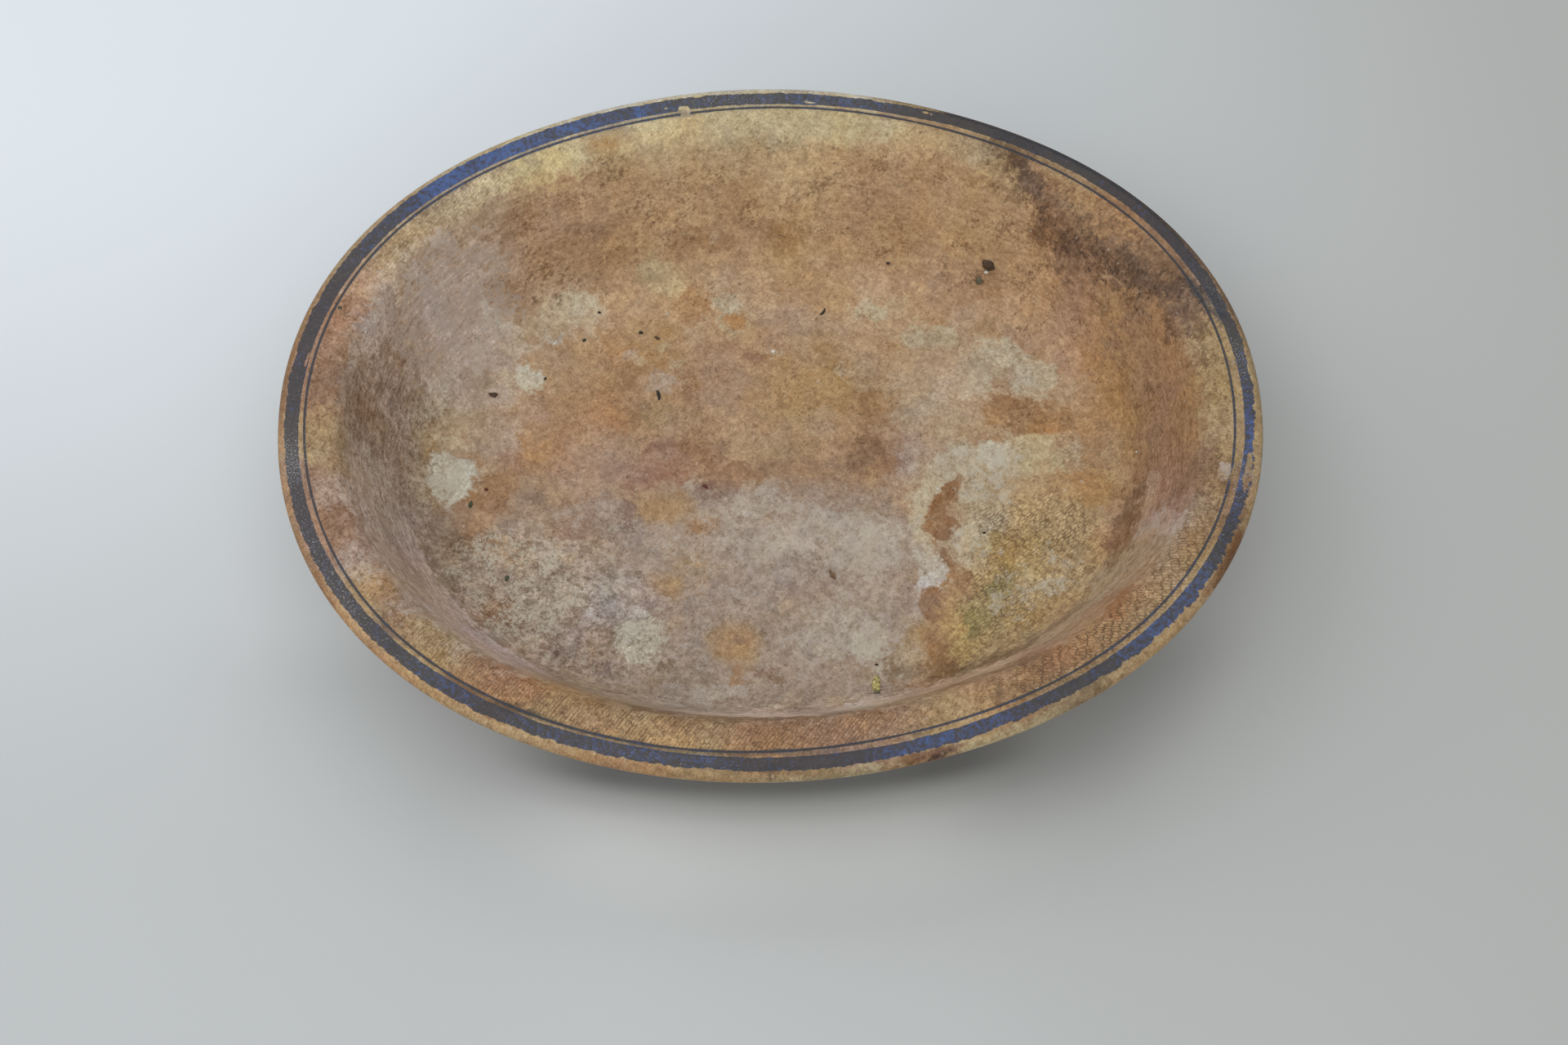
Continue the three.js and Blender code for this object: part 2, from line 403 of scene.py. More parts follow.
class Marks:
    """Soft colour and masks on a set of surface points, built up from named stains."""

    def __init__(self, p, d, phi):
        self.p, self.d, self.phi = p, d, np.degrees(phi) % 360.0
        self.arc = self.phi
        self.wx = 2.6 * grain(p, 13.0, 1, 3) + 1.3 * grain(p, 4.0, 2, 3, 0.65)
        self.wy = 2.6 * grain(p, 13.0, 3, 3) + 1.3 * grain(p, 4.0, 4, 3, 0.65)
        self.rag = 0.6 * grain(p, 7.0, 5, 3, 0.6) + 0.6 * grain(p, 2.4, 6, 2, 0.75)
        self.bank = [grain(p, 7.0, 60 + i, 4, 0.72) for i in range(8)]
        self.turn = 0
        self.fine = grain(p, 2.2, 7, 2, 0.7)
        self.cloud = grain(p, 9.0, 8, 4, 0.55)
        self.cloud2 = grain(p, 5.5, 9, 4, 0.6)
        self.drift = grain(p, 26.0, 10, 3, 0.5)
        self.octave = [grain(p, size, 20 + i) for i, size in enumerate((16.0, 8.0, 4.0, 2.0))]
        self.warmth = [grain(p, size, 30 + i) for i, size in enumerate((20.0, 8.0, 3.5))]
        self.tint = np.zeros((len(p), 3))
        self.tones = None
        self.mask = {k: np.zeros(len(p)) for k in ("lime", "bloom", "umber", "soot_and_shade", "craze", "weave", "streak", "grid", "dab")}

    # shapes: signed distance in mm, negative inside
    def near(self, x0, y0, x1, y1, wob):
        """The points within reach of a stain, and where they lie once the edges are made uneven."""
        far = 14.0
        x, y = self.p[:, 0], self.p[:, 1]
        k = np.nonzero((x > x0 - far) & (x < x1 + far) & (y > y0 - far) & (y < y1 + far))[0]
        return k, np.c_[x[k] + wob * self.wx[k], y[k] + wob * self.wy[k]]

    def spot(self, x, y, rx, ry=None, turn=0.0, wob=0.6):
        ry = rx if ry is None else ry
        r = max(rx, ry)
        out = np.full(len(self.p), 1e3)
        k, q = self.near(x - r, y - r, x + r, y + r, wob)
        u, v = q[:, 0] - x, q[:, 1] - y
        c, s = math.cos(math.radians(turn)), math.sin(math.radians(turn))
        a, b = (u * c + v * s) / rx, (v * c - u * s) / ry
        out[k] = (np.hypot(a, b) - 1.0) * min(rx, ry)
        return out

    def trail(self, points, width, wob=0.5):
        pts = np.array(points, dtype=float)
        out = np.full(len(self.p), 1e3)
        k, q = self.near(*pts.min(axis=0), *pts.max(axis=0), wob)
        best = np.full(len(q), 1e3)
        for a, b in zip(pts[:-1], pts[1:]):
            e = b - a
            h = np.clip(((q - a) @ e) / (e @ e), 0.0, 1.0)
            best = np.minimum(best, np.hypot(*(q - a - h[:, None] * e).T))
        out[k] = best - width / 2.0
        return out

    def patch(self, points, wob=1.0):
        pts = np.array(points, dtype=float)
        out = np.full(len(self.p), 1e3)
        k, q = self.near(*pts.min(axis=0), *pts.max(axis=0), wob)
        best = np.full(len(q), 1e3)
        inside = np.zeros(len(q), dtype=bool)
        for a, b in zip(pts, np.roll(pts, -1, axis=0)):
            e = b - a
            h = np.clip(((q - a) @ e) / (e @ e), 0.0, 1.0)
            best = np.minimum(best, np.hypot(*(q - a - h[:, None] * e).T))
            cross = (a[1] > q[:, 1]) != (b[1] > q[:, 1])
            with np.errstate(divide="ignore", invalid="ignore"):
                xs = (b[0] - a[0]) * (q[:, 1] - a[1]) / (b[1] - a[1]) + a[0]
            inside ^= cross & (q[:, 0] < xs)
        out[k] = np.where(inside, -best, best)
        return out

    def rim(self, phi, d, half_deg, half_d, slant=0.0, wob=0.3):
        """A spot on the rim: at phi degrees and d mm, half its length in degrees and half its depth in mm."""
        mm = 1.75
        u = ((self.phi - phi + 180.0) % 360.0 - 180.0) * mm + wob * self.wx
        v = self.d - d + wob * self.wy
        u = u - slant * v
        a, b = u / (half_deg * mm), v / half_d
        return (np.hypot(a, b) - 1.0) * min(half_deg * mm, half_d)

    def amount(self, dist, soft, ragged, patchy=0.4):
        self.turn = (self.turn + 3) % 8
        a, b = self.bank[self.turn], self.bank[(self.turn + 5) % 8]
        k = np.nonzero(dist < soft + 3.0 * ragged + 0.5)[0]
        out = np.zeros(len(dist))
        c = 1.0 - smooth(dist[k] + ragged * (0.6 * self.rag[k] + 0.8 * a[k]), -soft, soft)
        out[k] = c * (1.0 - patchy * smooth(b[k], -0.35, 0.85))
        return out

    def put(self, dist, colour, strength=1.0, soft=2.0, ragged=2.0, patchy=0.4):
        c = strength * self.amount(dist, soft, ragged, patchy)
        self.tint += (np.array(colour) - self.tint) * c[:, None]

    def add(self, name, dist, strength=1.0, soft=2.0, ragged=2.0, patchy=0.4):
        c = strength * self.amount(dist, soft, ragged, patchy)
        self.mask[name] = np.maximum(self.mask[name], c)

    def cut(self, name, dist, strength=1.0, soft=2.0, ragged=2.0):
        self.mask[name] = self.mask[name] * (1.0 - strength * self.amount(dist, soft, ragged, 0.0))

    def drift_hue(self, depth=1.0):
        """Uneven colour, about as strong at every size: darker reads warmer and browner, lighter reads paler."""
        o, w = self.octave, self.warmth
        k = depth * (0.03 * o[0] + 0.05 * o[1] + 0.07 * o[2] + 0.09 * o[3])
        h = depth * (0.06 * w[0] + 0.08 * w[1] + 0.10 * w[2])
        self.tint = self.tint * np.c_[1 + 0.92 * k + 0.28 * h, 1 + 1.04 * k - 0.04 * h, 1 + 1.12 * k - 0.75 * h]

    def finish(self, ob, extra=0):
        """Writes the colour and masks to a mesh; extra points at the end (hidden ones) repeat the values of the last
        point.
        """
        def pad(a):
            return np.r_[a, np.repeat(a[-1:], extra, axis=0)] if extra else a
        m = self.mask
        if self.tones is None:
            self.tones = two_tones(self.p, self.tint)
        mean, swing, side = self.tones
        colour_attribute(ob, "tint", pad(np.clip(mean, 0.0, 1.0)))
        colour_attribute(ob, "swing", pad(swing))
        colour_attribute(ob, "side", pad(np.c_[side, side, side]))
        colour_attribute(ob, "crust", pad(np.clip(np.c_[m["lime"], m["bloom"], m["umber"]], 0.0, 1.0)))
        colour_attribute(ob, "marks", pad(np.clip(np.c_[m["soot_and_shade"], m["craze"], m["weave"]], 0.0, 1.0)))
        colour_attribute(ob, "wear", pad(np.clip(np.c_[m["streak"], m["grid"], m["dab"]], 0.0, 1.0)))


def stain_upper(p, d, phi):
    """Everything that time and the ground left on the upper face. Plan coordinates in mm, x right, y back."""
    m = Marks(p, d, phi)
    deg = m.phi
    lip = runs(LIP_RUN, (deg + 1.2 * m.wx) % 360.0)
    flange = runs(FLANGE_RUN, (deg + 1.6 * m.wx) % 360.0)
    wall = runs(WALL_RUN, (deg + 1.6 * m.wy) % 360.0)
    to_flange = smooth(d + 0.25 * m.fine, 1.1, 2.2)[:, None]
    to_wall = smooth(d + 1.2 * m.rag + 1.0 * m.bank[2], 11.8, 17.0)[:, None]
    to_floor = smooth(d + 2.5 * m.rag + 2.0 * m.bank[3], 25.0, 36.0)[:, None]
    m.tint = lip * (1 - to_flange) + flange * to_flange
    m.tint = m.tint * (1 - to_wall) + wall * to_wall
    m.tint = m.tint * (1 - to_floor) + np.array(SAND) * to_floor

    put, add, cut, spot, trail, patch, rim = m.put, m.add, m.cut, m.spot, m.trail, m.patch, m.rim

    # --- flange
    put(rim(113.5, 9.5, 2.2, 2.2), OCHRE, 0.75, 1.0, 1.2)
    put(rim(117.0, 9.0, 1.6, 2.0), OCHRE, 0.7, 1.0, 1.2)
    put(rim(21, 11.0, 9, 4.0, slant=1.0), UMBER, 0.75, 2.5, 2.0)
    put(rim(47, 9.0, 2.4, 3.5, slant=-1.3), UMBER, 0.8, 1.4, 1.4)
    put(rim(37, 9.0, 7, 3.0), ORANGE, 0.35, 2.0, 2.0)
    put(rim(153, 13.5, 5, 1.6), LILAC, 0.7, 1.2, 1.6)
    put(rim(165, 14.5, 8, 1.2), LILAC, 0.55, 1.2, 1.6)
    put(rim(169, 9.0, 9, 3.5), TERRA, 0.5, 2.0, 2.0)
    put(rim(173, 10.0, 4, 3.0), BROWN, 0.45, 2.0, 2.0)
    put(rim(183, 10.0, 4, 3.5), STRAW, 0.6, 2.0, 2.0)
    put(rim(190, 10.5, 2.6, 4.0), LILAC, 0.5, 1.6, 1.8)
    put(rim(195, 9.5, 2.4, 3.0), BROWN, 0.6, 1.4, 1.6)
    put(rim(201, 9.5, 2.2, 4.0), LILAC, 0.5, 1.6, 1.8)
    put(rim(210, 10.5, 1.6, 5.0, slant=0.8), LILAC, 0.5, 1.4, 1.8)
    put(rim(221, 13.0, 2.0, 2.4), LILAC, 0.45, 1.4, 1.6)
    put(rim(229, 9.5, 4, 3.5), RUST, 0.35, 2.0, 2.0)
    put(rim(262, 11.5, 9, 2.4), PINK, 0.5, 1.6, 1.4)
    put(rim(283, 12.0, 8, 2.0), DUSK, 0.45, 1.4, 1.4)
    put(rim(299, 9.5, 5, 2.8), STRAW, 0.7, 1.6, 1.6)
    put(rim(306, 11.0, 2.5, 2.0), OCHRE, 0.5, 1.2, 1.4)
    put(rim(304.5, 10.2, 0.5, 0.7), UMBER, 0.9, 0.4, 0.4)
    put(rim(351, 13.0, 4, 2.2), BROWN, 0.5, 1.6, 1.6)
    put(rim(340, 13.5, 5, 2.0), MAUVE, 0.5, 1.6, 1.6)
    put(rim(346, 10.5, 1.4, 2.6), PINK, 0.5, 1.2, 1.4)

    # --- wall
    put(patch([(-60, 55), (-50, 61), (-34, 66), (-22, 67), (-20, 60), (-34, 57), (-48, 52)]), BELT, 0.75, 3, 3)
    put(patch([(-26, 62), (-16, 70), (-2, 71), (8, 67), (6, 60), (-8, 58), (-20, 58)]), BELT, 0.75, 3, 3)
    put(patch([(12, 62), (20, 70), (36, 69), (48, 62), (44, 56), (28, 58), (16, 58)]), BELT, 0.7, 3, 3)
    put(spot(0, 72.5, 12, 2.0), TAN, 0.3, 2, 2)
    put(spot(54, 60, 8, 5, -40), STRAW, 0.5, 3, 3)
    put(patch([(-91, 24), (-88, 38), (-76, 51), (-64, 54), (-61, 44), (-64, 33), (-72, 30), (-80, 24)]), LILAC, 0.75, 2.5, 2.5, 0.3)
    put(trail([(-93, 24), (-86, 20), (-84, 34)], 6), DRAB, 0.55, 3, 3)
    put(spot(-60, 48, 8, 5, 35), BELT, 0.7, 2.5, 2.5)
    put(spot(-94, 12, 5, 14), DRAB, 0.7, 3, 3)
    put(spot(-92, -6, 4, 10), LILAC, 0.45, 2.5, 2.5)
    put(spot(-87, -14, 4, 12, -20), MAUVE, 0.6, 2.5, 2.5)
    put(spot(-82, 8, 4, 18), OLIVE, 0.35, 3, 3)
    put(spot(-79, -14, 5, 10, -15), DRAB, 0.75, 3, 3)
    put(trail([(62, 66), (66, 58), (74, 48), (82, 41), (91, 34), (98, 28)], 8), BROWN, 0.6, 4.0, 3.0)
    put(spot(88, 22, 6, 14, -20), ORANGE, 0.5, 3, 3)
    put(spot(81, 12, 5, 14, 0), AMBER, 0.5, 3, 3)
    put(spot(79, 1, 7, 9), STRAW, 0.6, 3, 3)
    put(spot(94, -4, 4, 9, 0), RUST, 0.35, 3, 3)
    put(trail([(87, -10), (84, -18), (80, -25)], 4), UMBER, 0.65, 2.0, 2.0)
    put(spot(91, -25, 4, 6, 20), LILAC, 0.4, 2, 2)

    # --- floor, back half
    put(patch([(-62, 21), (-52, 35), (-30, 39), (-8, 36), (4, 33), (28, 30), (31, 12), (25, -1), (0, -2), (-18, 2), (-24, 12), (-40, 12), (-60, 6)]),
        HONEY, 0.62, 5, 4)
    put(spot(-20, 44, 8, 5, 10), AMBER, 0.55, 3, 3)
    put(spot(-38, 30, 10, 6, -15), AMBER, 0.45, 3, 3)
    put(spot(-18, 24, 10, 7), AMBER, 0.5, 3, 3)
    put(spot(-32, 20, 9, 4), AMBER, 0.4, 3, 3)
    put(spot(10, 24, 15, 9, 5), OCHRE, 0.22, 3, 3)
    put(spot(4, 40, 8, 5), PINK, 0.2, 3, 3)
    put(spot(-12, 33, 7, 5), PINK, 0.3, 3, 3)
    put(spot(26, 20, 5, 8, 10), ORANGE, 0.6, 3, 2.5)
    put(spot(25, 6, 10, 6), BROWN, 0.6, 3, 2.5)
    put(spot(12, 6, 8, 5), BROWN, 0.3, 3, 2.5)
    put(trail([(-20, 7), (-12, 2), (0, 0), (12, -1), (24, 0), (31, 3)], 4), ORANGE, 0.55, 2, 2)
    put(spot(-16, 8, 7, 4), RUST, 0.5, 2.5, 2.5)
    put(spot(-30, 6, 13, 7), PINK, 0.55, 4, 3)
    put(spot(-24, 4, 6, 4), DUSK, 0.45, 3, 3)
    put(spot(-58, 12, 11, 10), TERRA, 0.4, 4, 3)
    put(spot(-45, 20, 8, 8), TERRA, 0.35, 4, 3)
    put(spot(-66, 8, 6, 6), DUSK, 0.25, 3, 3)
    put(spot(-66, -8, 9, 5), TERRA, 0.6, 3, 3)
    put(spot(60, 42, 12, 8), PINK, 0.35, 5, 3)
    put(spot(40, 50, 12, 5), PINK, 0.25, 4, 3)

    # --- pale patches
    put(spot(-79, 24, 4, 8, -10), PALE, 0.7, 2, 2)
    put(spot(-72, 20, 4, 5), PALE, 0.35, 2, 2)
    put(patch([(-83, 3), (-81, 8), (-77, 8.6), (-72, 7), (-71, 1), (-73.5, -4), (-76, -7.5), (-79, -4), (-82.5, -1)], 0.35), LIME, 0.8, 0.9, 1.2)
    put(spot(-58, 28, 2.8, 4.2), PALE, 0.9, 1.0, 1.2)
    put(trail([(-54, 36), (-52, 36.6), (-50.6, 38)], 1.2, 0.2), LIME, 0.7, 0.6, 0.6)
    put(spot(-48, 46.5, 5, 3), PALE, 0.75, 1.6, 1.6)
    put(spot(-62, 44, 4, 2.4), PALE, 0.5, 1.2, 1.4)
    put(trail([(-66, 42), (-63.5, 37), (-62, 31), (-61, 24)], 1.4, 0.3), PALE, 0.55, 0.7, 0.8)
    put(spot(-22, 55, 6, 4), STRAW, 0.6, 2.5, 2.5)
    put(spot(-8.5, 46.5, 4, 2.4), PALE, 0.6, 1.5, 1.6)
    put(spot(25, 45, 3.2, 2.6), PALE, 0.8, 1.2, 1.4)
    put(spot(38, 37, 4, 3), PALE, 0.75, 1.4, 1.6)
    put(spot(44, 37, 4, 2.6), PALE, 0.7, 1.4, 1.6)
    put(patch([(46, 34), (54, 36), (60, 33), (66, 31), (71, 26), (70, 20), (62, 21), (56, 23), (49, 22), (44, 26)]), PALE, 0.8, 1.6, 2.2, 0.25)
    put(spot(37, 21, 6, 8), PALE, 0.4, 3, 3)
    put(spot(45, 14, 6, 5), PALE, 0.35, 3, 3)
    put(patch([(33, -14), (36, -6), (42, 4), (46, 8), (56, 9), (64, 6), (66, -4), (58, -8), (50, -8), (46, -3), (42, -4), (38, -9)], 0.7), PALE, 0.85, 1.4, 2.0, 0.2)
    put(spot(70, 5, 5, 3), PALE, 0.35, 2, 2)
    put(spot(54, -11, 6, 4), PALE, 0.8, 2, 2)
    put(spot(35, -13, 3, 4), LIME, 0.6, 1.5, 1.5)

    # --- grey powder over the front half
    put(patch([(-58, -6), (-40, -3), (-18, -3), (2, -4), (30, -5), (36, -14), (36, -28), (34, -46), (30, -58), (-20, -62), (-50, -54), (-66, -42),
               (-78, -26), (-76, -16)]), MAUVE, 0.85, 4, 4)
    put(spot(-42, -7, 12, 5), PINK, 0.4, 4, 3)
    put(spot(-34, -12, 10, 8), DUSK, 0.3, 4, 3)
    put(spot(-20, -32, 9, 8), DUSK, 0.45, 4, 3)
    put(spot(6, -28, 10, 4), DUSK, 0.35, 3, 3)
    put(spot(14, -26, 4, 3), DUSK, 0.4, 2, 2)
    put(spot(2, -16, 13, 6), ASH, 0.75, 3, 3, 0.2)
    put(spot(22, -16, 11, 8), ASH, 0.75, 3, 3, 0.2)
    put(spot(-3, -7, 10, 3), ASH, 0.55, 2, 2, 0.2)
    put(spot(24, -36, 10, 5), ASH, 0.6, 3, 3, 0.2)
    put(spot(12, -42, 9, 6), ASH, 0.6, 3, 3, 0.2)
    put(spot(27, -46, 6, 5), PALE, 0.5, 2.5, 2.5, 0.2)
    put(spot(-14, -56, 8, 3), ASH, 0.5, 2.5, 2.5)
    put(spot(-38, -28, 4, 5), ASH, 0.6, 2, 2)
    put(spot(-54, -22, 8, 5), ASH, 0.45, 3, 3)
    put(spot(-55, -33, 7, 5), ASH, 0.5, 2, 2)
    put(spot(-31, -42, 6, 5), LIME, 0.7, 2, 2, 0.2)
    put(spot(36, -22, 3, 6), LIME, 0.5, 1.4, 1.6)
    put(spot(48, -19, 5, 6), PALE, 0.7, 2, 2, 0.2)
    put(spot(-44, -40, 7, 5), DUSK, 0.6, 2.5, 2.5)
    put(spot(-63.5, -34, 5, 4), BROWN, 0.7, 1.6, 2)
    put(spot(-56, -45, 6, 3), BROWN, 0.5, 2, 2)
    put(spot(-70, -27, 6, 6), DRAB, 0.6, 2.5, 2.5)
    put(spot(-74, -14, 6, 6), DRAB, 0.5, 3, 3)

    # --- ochre and rust spots
    put(patch([(-31, -5), (-25, -4), (-19, -5.5), (-18, -8.5), (-21, -11), (-24, -9.5), (-26, -12), (-30, -10.5), (-32, -8)], 0.3), OCHRE, 0.75, 1.2, 1.6, 0.25)
    put(spot(-16.5, -13, 3, 1.6), AMBER, 0.8, 0.9, 1.2)
    put(spot(-17, -22, 2.2, 1.6), OCHRE, 0.65, 0.9, 1.2)
    put(spot(-23.5, -28, 4, 3, -20), OCHRE, 0.7, 1.2, 1.6, 0.2)
    put(patch([(-15, -39.5), (-10, -38.5), (-5, -39), (-2.5, -42), (-4, -46.5), (-9, -47.5), (-14, -46.5)], 0.3), OCHRE, 0.85, 0.9, 1.1)
    put(spot(-8.5, -42.5, 1.6), BROWN, 0.7, 1.0, 0.8)
    put(spot(-7.5, -50.5, 1.6, 2.4), ORANGE, 0.6, 0.8, 1.0)
    put(spot(-1, -51, 2.2, 1.0), RUST, 0.8, 0.7, 0.9)
    put(spot(23, -6.5, 1.0, 1.2), AMBER, 0.8, 0.6, 0.6)
    put(spot(-15.3, -2.4, 1.6, 1.2), UMBER, 0.8, 0.8, 0.8)
    put(patch([(54, 21), (60, 20), (66, 19), (72, 17), (73, 10), (66, 10), (58, 12), (55, 15)]), ORANGE, 0.75, 1.6, 2.0, 0.15)
    put(patch([(45.5, -0.5), (42, -3), (39, -8), (36.5, -14), (37, -18), (40, -19), (43.5, -17), (44, -11), (46, -5)], 0.4), RUST, 0.92, 0.9, 1.2)
    put(trail([(41.5, -20.5), (43.5, -24)], 1.4, 0.3), RUST, 0.8, 0.6, 0.7)

    # --- the olive area to the right of the front
    put(patch([(52, -10), (60, -7), (72, -5), (80, -5), (82, -14), (78, -26), (71, -37), (58, -46), (45, -53), (36, -52), (35, -42), (39, -32),
               (42, -25), (48, -26), (51, -17)]), OLIVE, 0.85, 1.8, 2.0)
    put(patch([(41, -24), (47, -25), (47, -32), (43, -37), (42, -44), (38, -52), (34, -48), (37, -38), (39, -30)], 0.6), AMBER, 0.7, 1.4, 1.8)
    put(spot(39, -50, 3.5, 3), OCHRE, 0.5, 1.4, 1.6)
    put(spot(47.5, -38, 4.5, 4, 40), MOSS, 0.8, 1.8, 1.8)
    put(spot(53, -31, 4.5, 2.6, 35), MOSS, 0.7, 1.6, 1.6)
    put(spot(55, -15, 3, 4, -20), MOSS, 0.35, 1.6, 1.6)
    put(spot(70, -10, 8, 3), HONEY, 0.4, 2.5, 2.5)
    put(spot(66, -38, 7, 3, 35), AMBER, 0.5, 2, 2)
    put(spot(74, -24, 5, 5), STRAW, 0.3, 2, 2)
    put(spot(62, -30, 7, 4, 25), PALE, 0.4, 2, 2, 0.3)
    put(trail([(36, -54), (50, -51.5), (59, -48), (66, -43), (72, -38)], 2.4, 0.3), UMBER, 0.65, 1.6, 1.2)
    put(spot(32, -54, 5, 2.4), BROWN, 0.35, 1.6, 1.6)
    ring = np.abs(m.spot(-7.5, 42.3, 3.1, 2.6, 0.0, 0.2)) - 0.35
    put(ring, PALE, 0.55, 0.5, 0.4)
    put(spot(-7.5, 42.3, 2.4, 2.0, 0.0, 0.2), AMBER, 0.4, 0.8, 0.6)


    # --- finer stains, each with a crisper edge
    def fine(shape, colour, strength=0.75, soft=0.9, ragged=1.2, patchy=0.25):
        put(shape, colour, strength, soft, ragged, patchy)

    def blot(points, colour, strength=0.75, soft=0.9, ragged=1.2, patchy=0.25, wob=0.4):
        put(patch(points, wob), colour, strength, soft, ragged, patchy)

    # back left: haze running down to the floor, tan dirt along the bend, pale patches
    blot([(-82, 22), (-84, 30), (-78, 40), (-70, 47), (-68, 43), (-61, 41), (-57, 36), (-61, 30), (-60, 22), (-70, 19)], HAZE, 0.7, 1.5, 2.0)
    fine(spot(-73, 41, 4, 5, -35, 0.4), LILAC, 0.7, 1.2)
    fine(spot(-80, 38, 3, 4, -40, 0.4), LILAC, 0.7, 1.2)
    fine(spot(-70, 29, 4, 4, 0, 0.4), KHAKI, 0.5, 1.5)
    fine(trail([(-90, 34), (-84, 41), (-79, 46), (-70, 53), (-60, 57.5), (-52, 61)], 5), FAWN, 0.8, 1.6, 1.6)
    fine(trail([(-82, 44), (-74, 50.5), (-66, 55), (-57, 58.5)], 2.0), COCOA, 0.35, 1.2, 1.6, 0.6)
    blot([(-68.5, 44), (-67, 50), (-60, 51), (-56, 48), (-57, 43.5), (-62, 42), (-66, 43)], FAWN, 0.8)
    blot([(-56, 48), (-50, 50.5), (-42, 50.5), (-39, 46), (-43, 41), (-51, 40.5), (-57, 43)], PALE, 0.85, 1.0, 1.5)
    fine(spot(-46, 47.5, 3.5, 2.2, 0, 0.3), PALE, 0.8, 0.8)
    fine(trail([(-68.5, 44.5), (-68, 41.5), (-65, 40.3), (-61.5, 41)], 1.3, 0.2), LIME, 0.8, 0.5, 0.5, 0.1)
    blot([(-60.5, 25.5), (-60.5, 31), (-58.5, 31.5), (-57.6, 29.5), (-55.5, 29.8), (-54.6, 27), (-56, 25.6), (-58.5, 25)], CHALK, 0.9, 0.5, 0.7, 0.1, 0.2)
    fine(trail([(-88, 22), (-86, 29), (-84, 33)], 4.5, 0.4), DRAB, 0.65, 1.4, 1.6)
    fine(trail([(-90, 26), (-87.5, 35)], 2.0, 0.3), COCOA, 0.35, 1.0, 1.4, 0.5)
    fine(spot(-60, 37, 3.5, 3, 0, 0.4), PALE, 0.5, 1.2)
    fine(trail([(-53.6, 39.4), (-52.6, 37.6), (-51, 37.2), (-50, 38.8), (-49.8, 41)], 0.9, 0.15), LIME, 0.85, 0.4, 0.4, 0.1)
    fine(trail([(-68.3, 36.5), (-65.5, 34), (-63.2, 30), (-62.4, 25)], 0.8, 0.15), PALE, 0.7, 0.4, 0.5, 0.3)
    fine(spot(-63.5, 46.5, 4.0, 2.8, -20, 0.4), COCOA, 0.3, 1.2, 1.4, 0.4)
    fine(spot(-51, 33, 5, 3.5, 0, 0.4), FAWN, 0.5, 1.5)
    fine(spot(-44, 31, 4, 4, 0, 0.4), SAND, 0.5, 1.5)

    # back: cream, ochre and rosy patches on the floor, brown along the foot of the wall
    fine(spot(-36, 55, 7, 4, 10, 0.5), BELT, 0.7, 2.0)
    blot([(-30, 58), (-27, 60), (-22, 57), (-20, 52), (-22, 49.5), (-28, 50.5), (-31, 54)], CREAM, 0.7, 1.6, 1.6)
    blot([(-21, 50), (-17, 51), (-14.5, 49), (-14, 45), (-16, 43), (-20, 43.5), (-22, 46)], AMBER, 0.8, 1.0, 1.2)
    fine(spot(-9.7, 47.8, 2.8, 2.8, 0, 0.3), PALE, 0.85, 0.8, 0.9)
    fine(spot(-7.3, 42.6, 3.3, 2.3, 0, 0.2), AMBER, 0.85, 0.7, 0.7, 0.1)
    fine(trail([(-11.2, 42.5), (-10, 40.2), (-7.5, 39.3), (-5, 40)], 0.9, 0.15), PALE, 0.7, 0.4, 0.4, 0.1)
    blot([(2, 49), (3, 55), (10, 57), (18, 55.5), (20.5, 50), (20, 46), (14, 44.5), (9, 46), (4, 46.5)], GOLD, 0.7, 1.2, 1.6)
    fine(spot(15, 41, 7, 4, 0, 0.4), KHAKI, 0.55, 1.5)
    fine(spot(3, 42, 5, 3.5, 0, 0.4), ROSE, 0.45, 1.5)
    fine(spot(-27, 45, 4, 4, 0, 0.4), FAWN, 0.5, 1.5)
    blot([(22.5, 46), (25, 47.6), (29.5, 46.5), (31, 43), (27.5, 41.5), (26, 43), (23, 42.5)], PALE, 0.95, 0.6, 0.8, 0.1, 0.25)
    fine(spot(33, 46.5, 3, 2.5, 0, 0.3), PALE, 0.45, 1.0)
    fine(spot(5, 32, 4, 2.4, 0, 0.3), GOLD, 0.75, 1.0)
    blot([(-6, 20), (-5, 26), (-1, 29.5), (6, 29), (14, 30), (21, 27), (24, 21), (16, 17), (4, 16)], GOLD, 0.6, 1.5, 1.8)
    blot([(-18, 20), (-17, 30), (-10, 33), (-5, 30), (-4, 24), (-6, 19)], ROSE, 0.65, 1.2, 1.6)
    fine(trail([(-19.5, 30), (-18, 26), (-18.5, 21)], 3.2, 0.3), SIENNA, 0.7, 1.0)
    fine(spot(-25, 25.5, 3.6, 2.8, 0, 0.3), BLUSH, 0.75, 0.9)
    fine(spot(-33, 33.8, 1.9, 1.2, 0, 0.2), LILAC, 0.75, 0.6, 0.7, 0.1)
    fine(spot(-31.2, 32.4, 1.6, 0.9, -20, 0.2), PALE, 0.6, 0.6, 0.7, 0.1)
    fine(spot(-25, 35.6, 1.9, 0.9, 0, 0.2), PALE, 0.75, 0.5, 0.6, 0.1)
    fine(spot(-22, 31.2, 1.5, 1.2, 0, 0.2), PALE, 0.65, 0.5, 0.6, 0.1)
    fine(spot(2, 34, 1.0, 0.7, 0, 0.1), CHALK, 0.9, 0.4, 0.3, 0.0)
    fine(trail([(-4, 33.4), (-1.5, 32), (0.5, 31)], 1.5, 0.2), MAROON, 0.7, 0.6, 0.8)
    fine(spot(23.5, 26, 3.5, 4.5, 0, 0.4), KHAKI, 0.65, 1.2)
    fine(spot(18.3, 28.2, 1.3, 1.1, 0, 0.2), PEARL, 0.7, 0.5, 0.5, 0.1)
    fine(spot(-36, 24, 5, 4, 0, 0.4), AMBER, 0.5, 1.4)
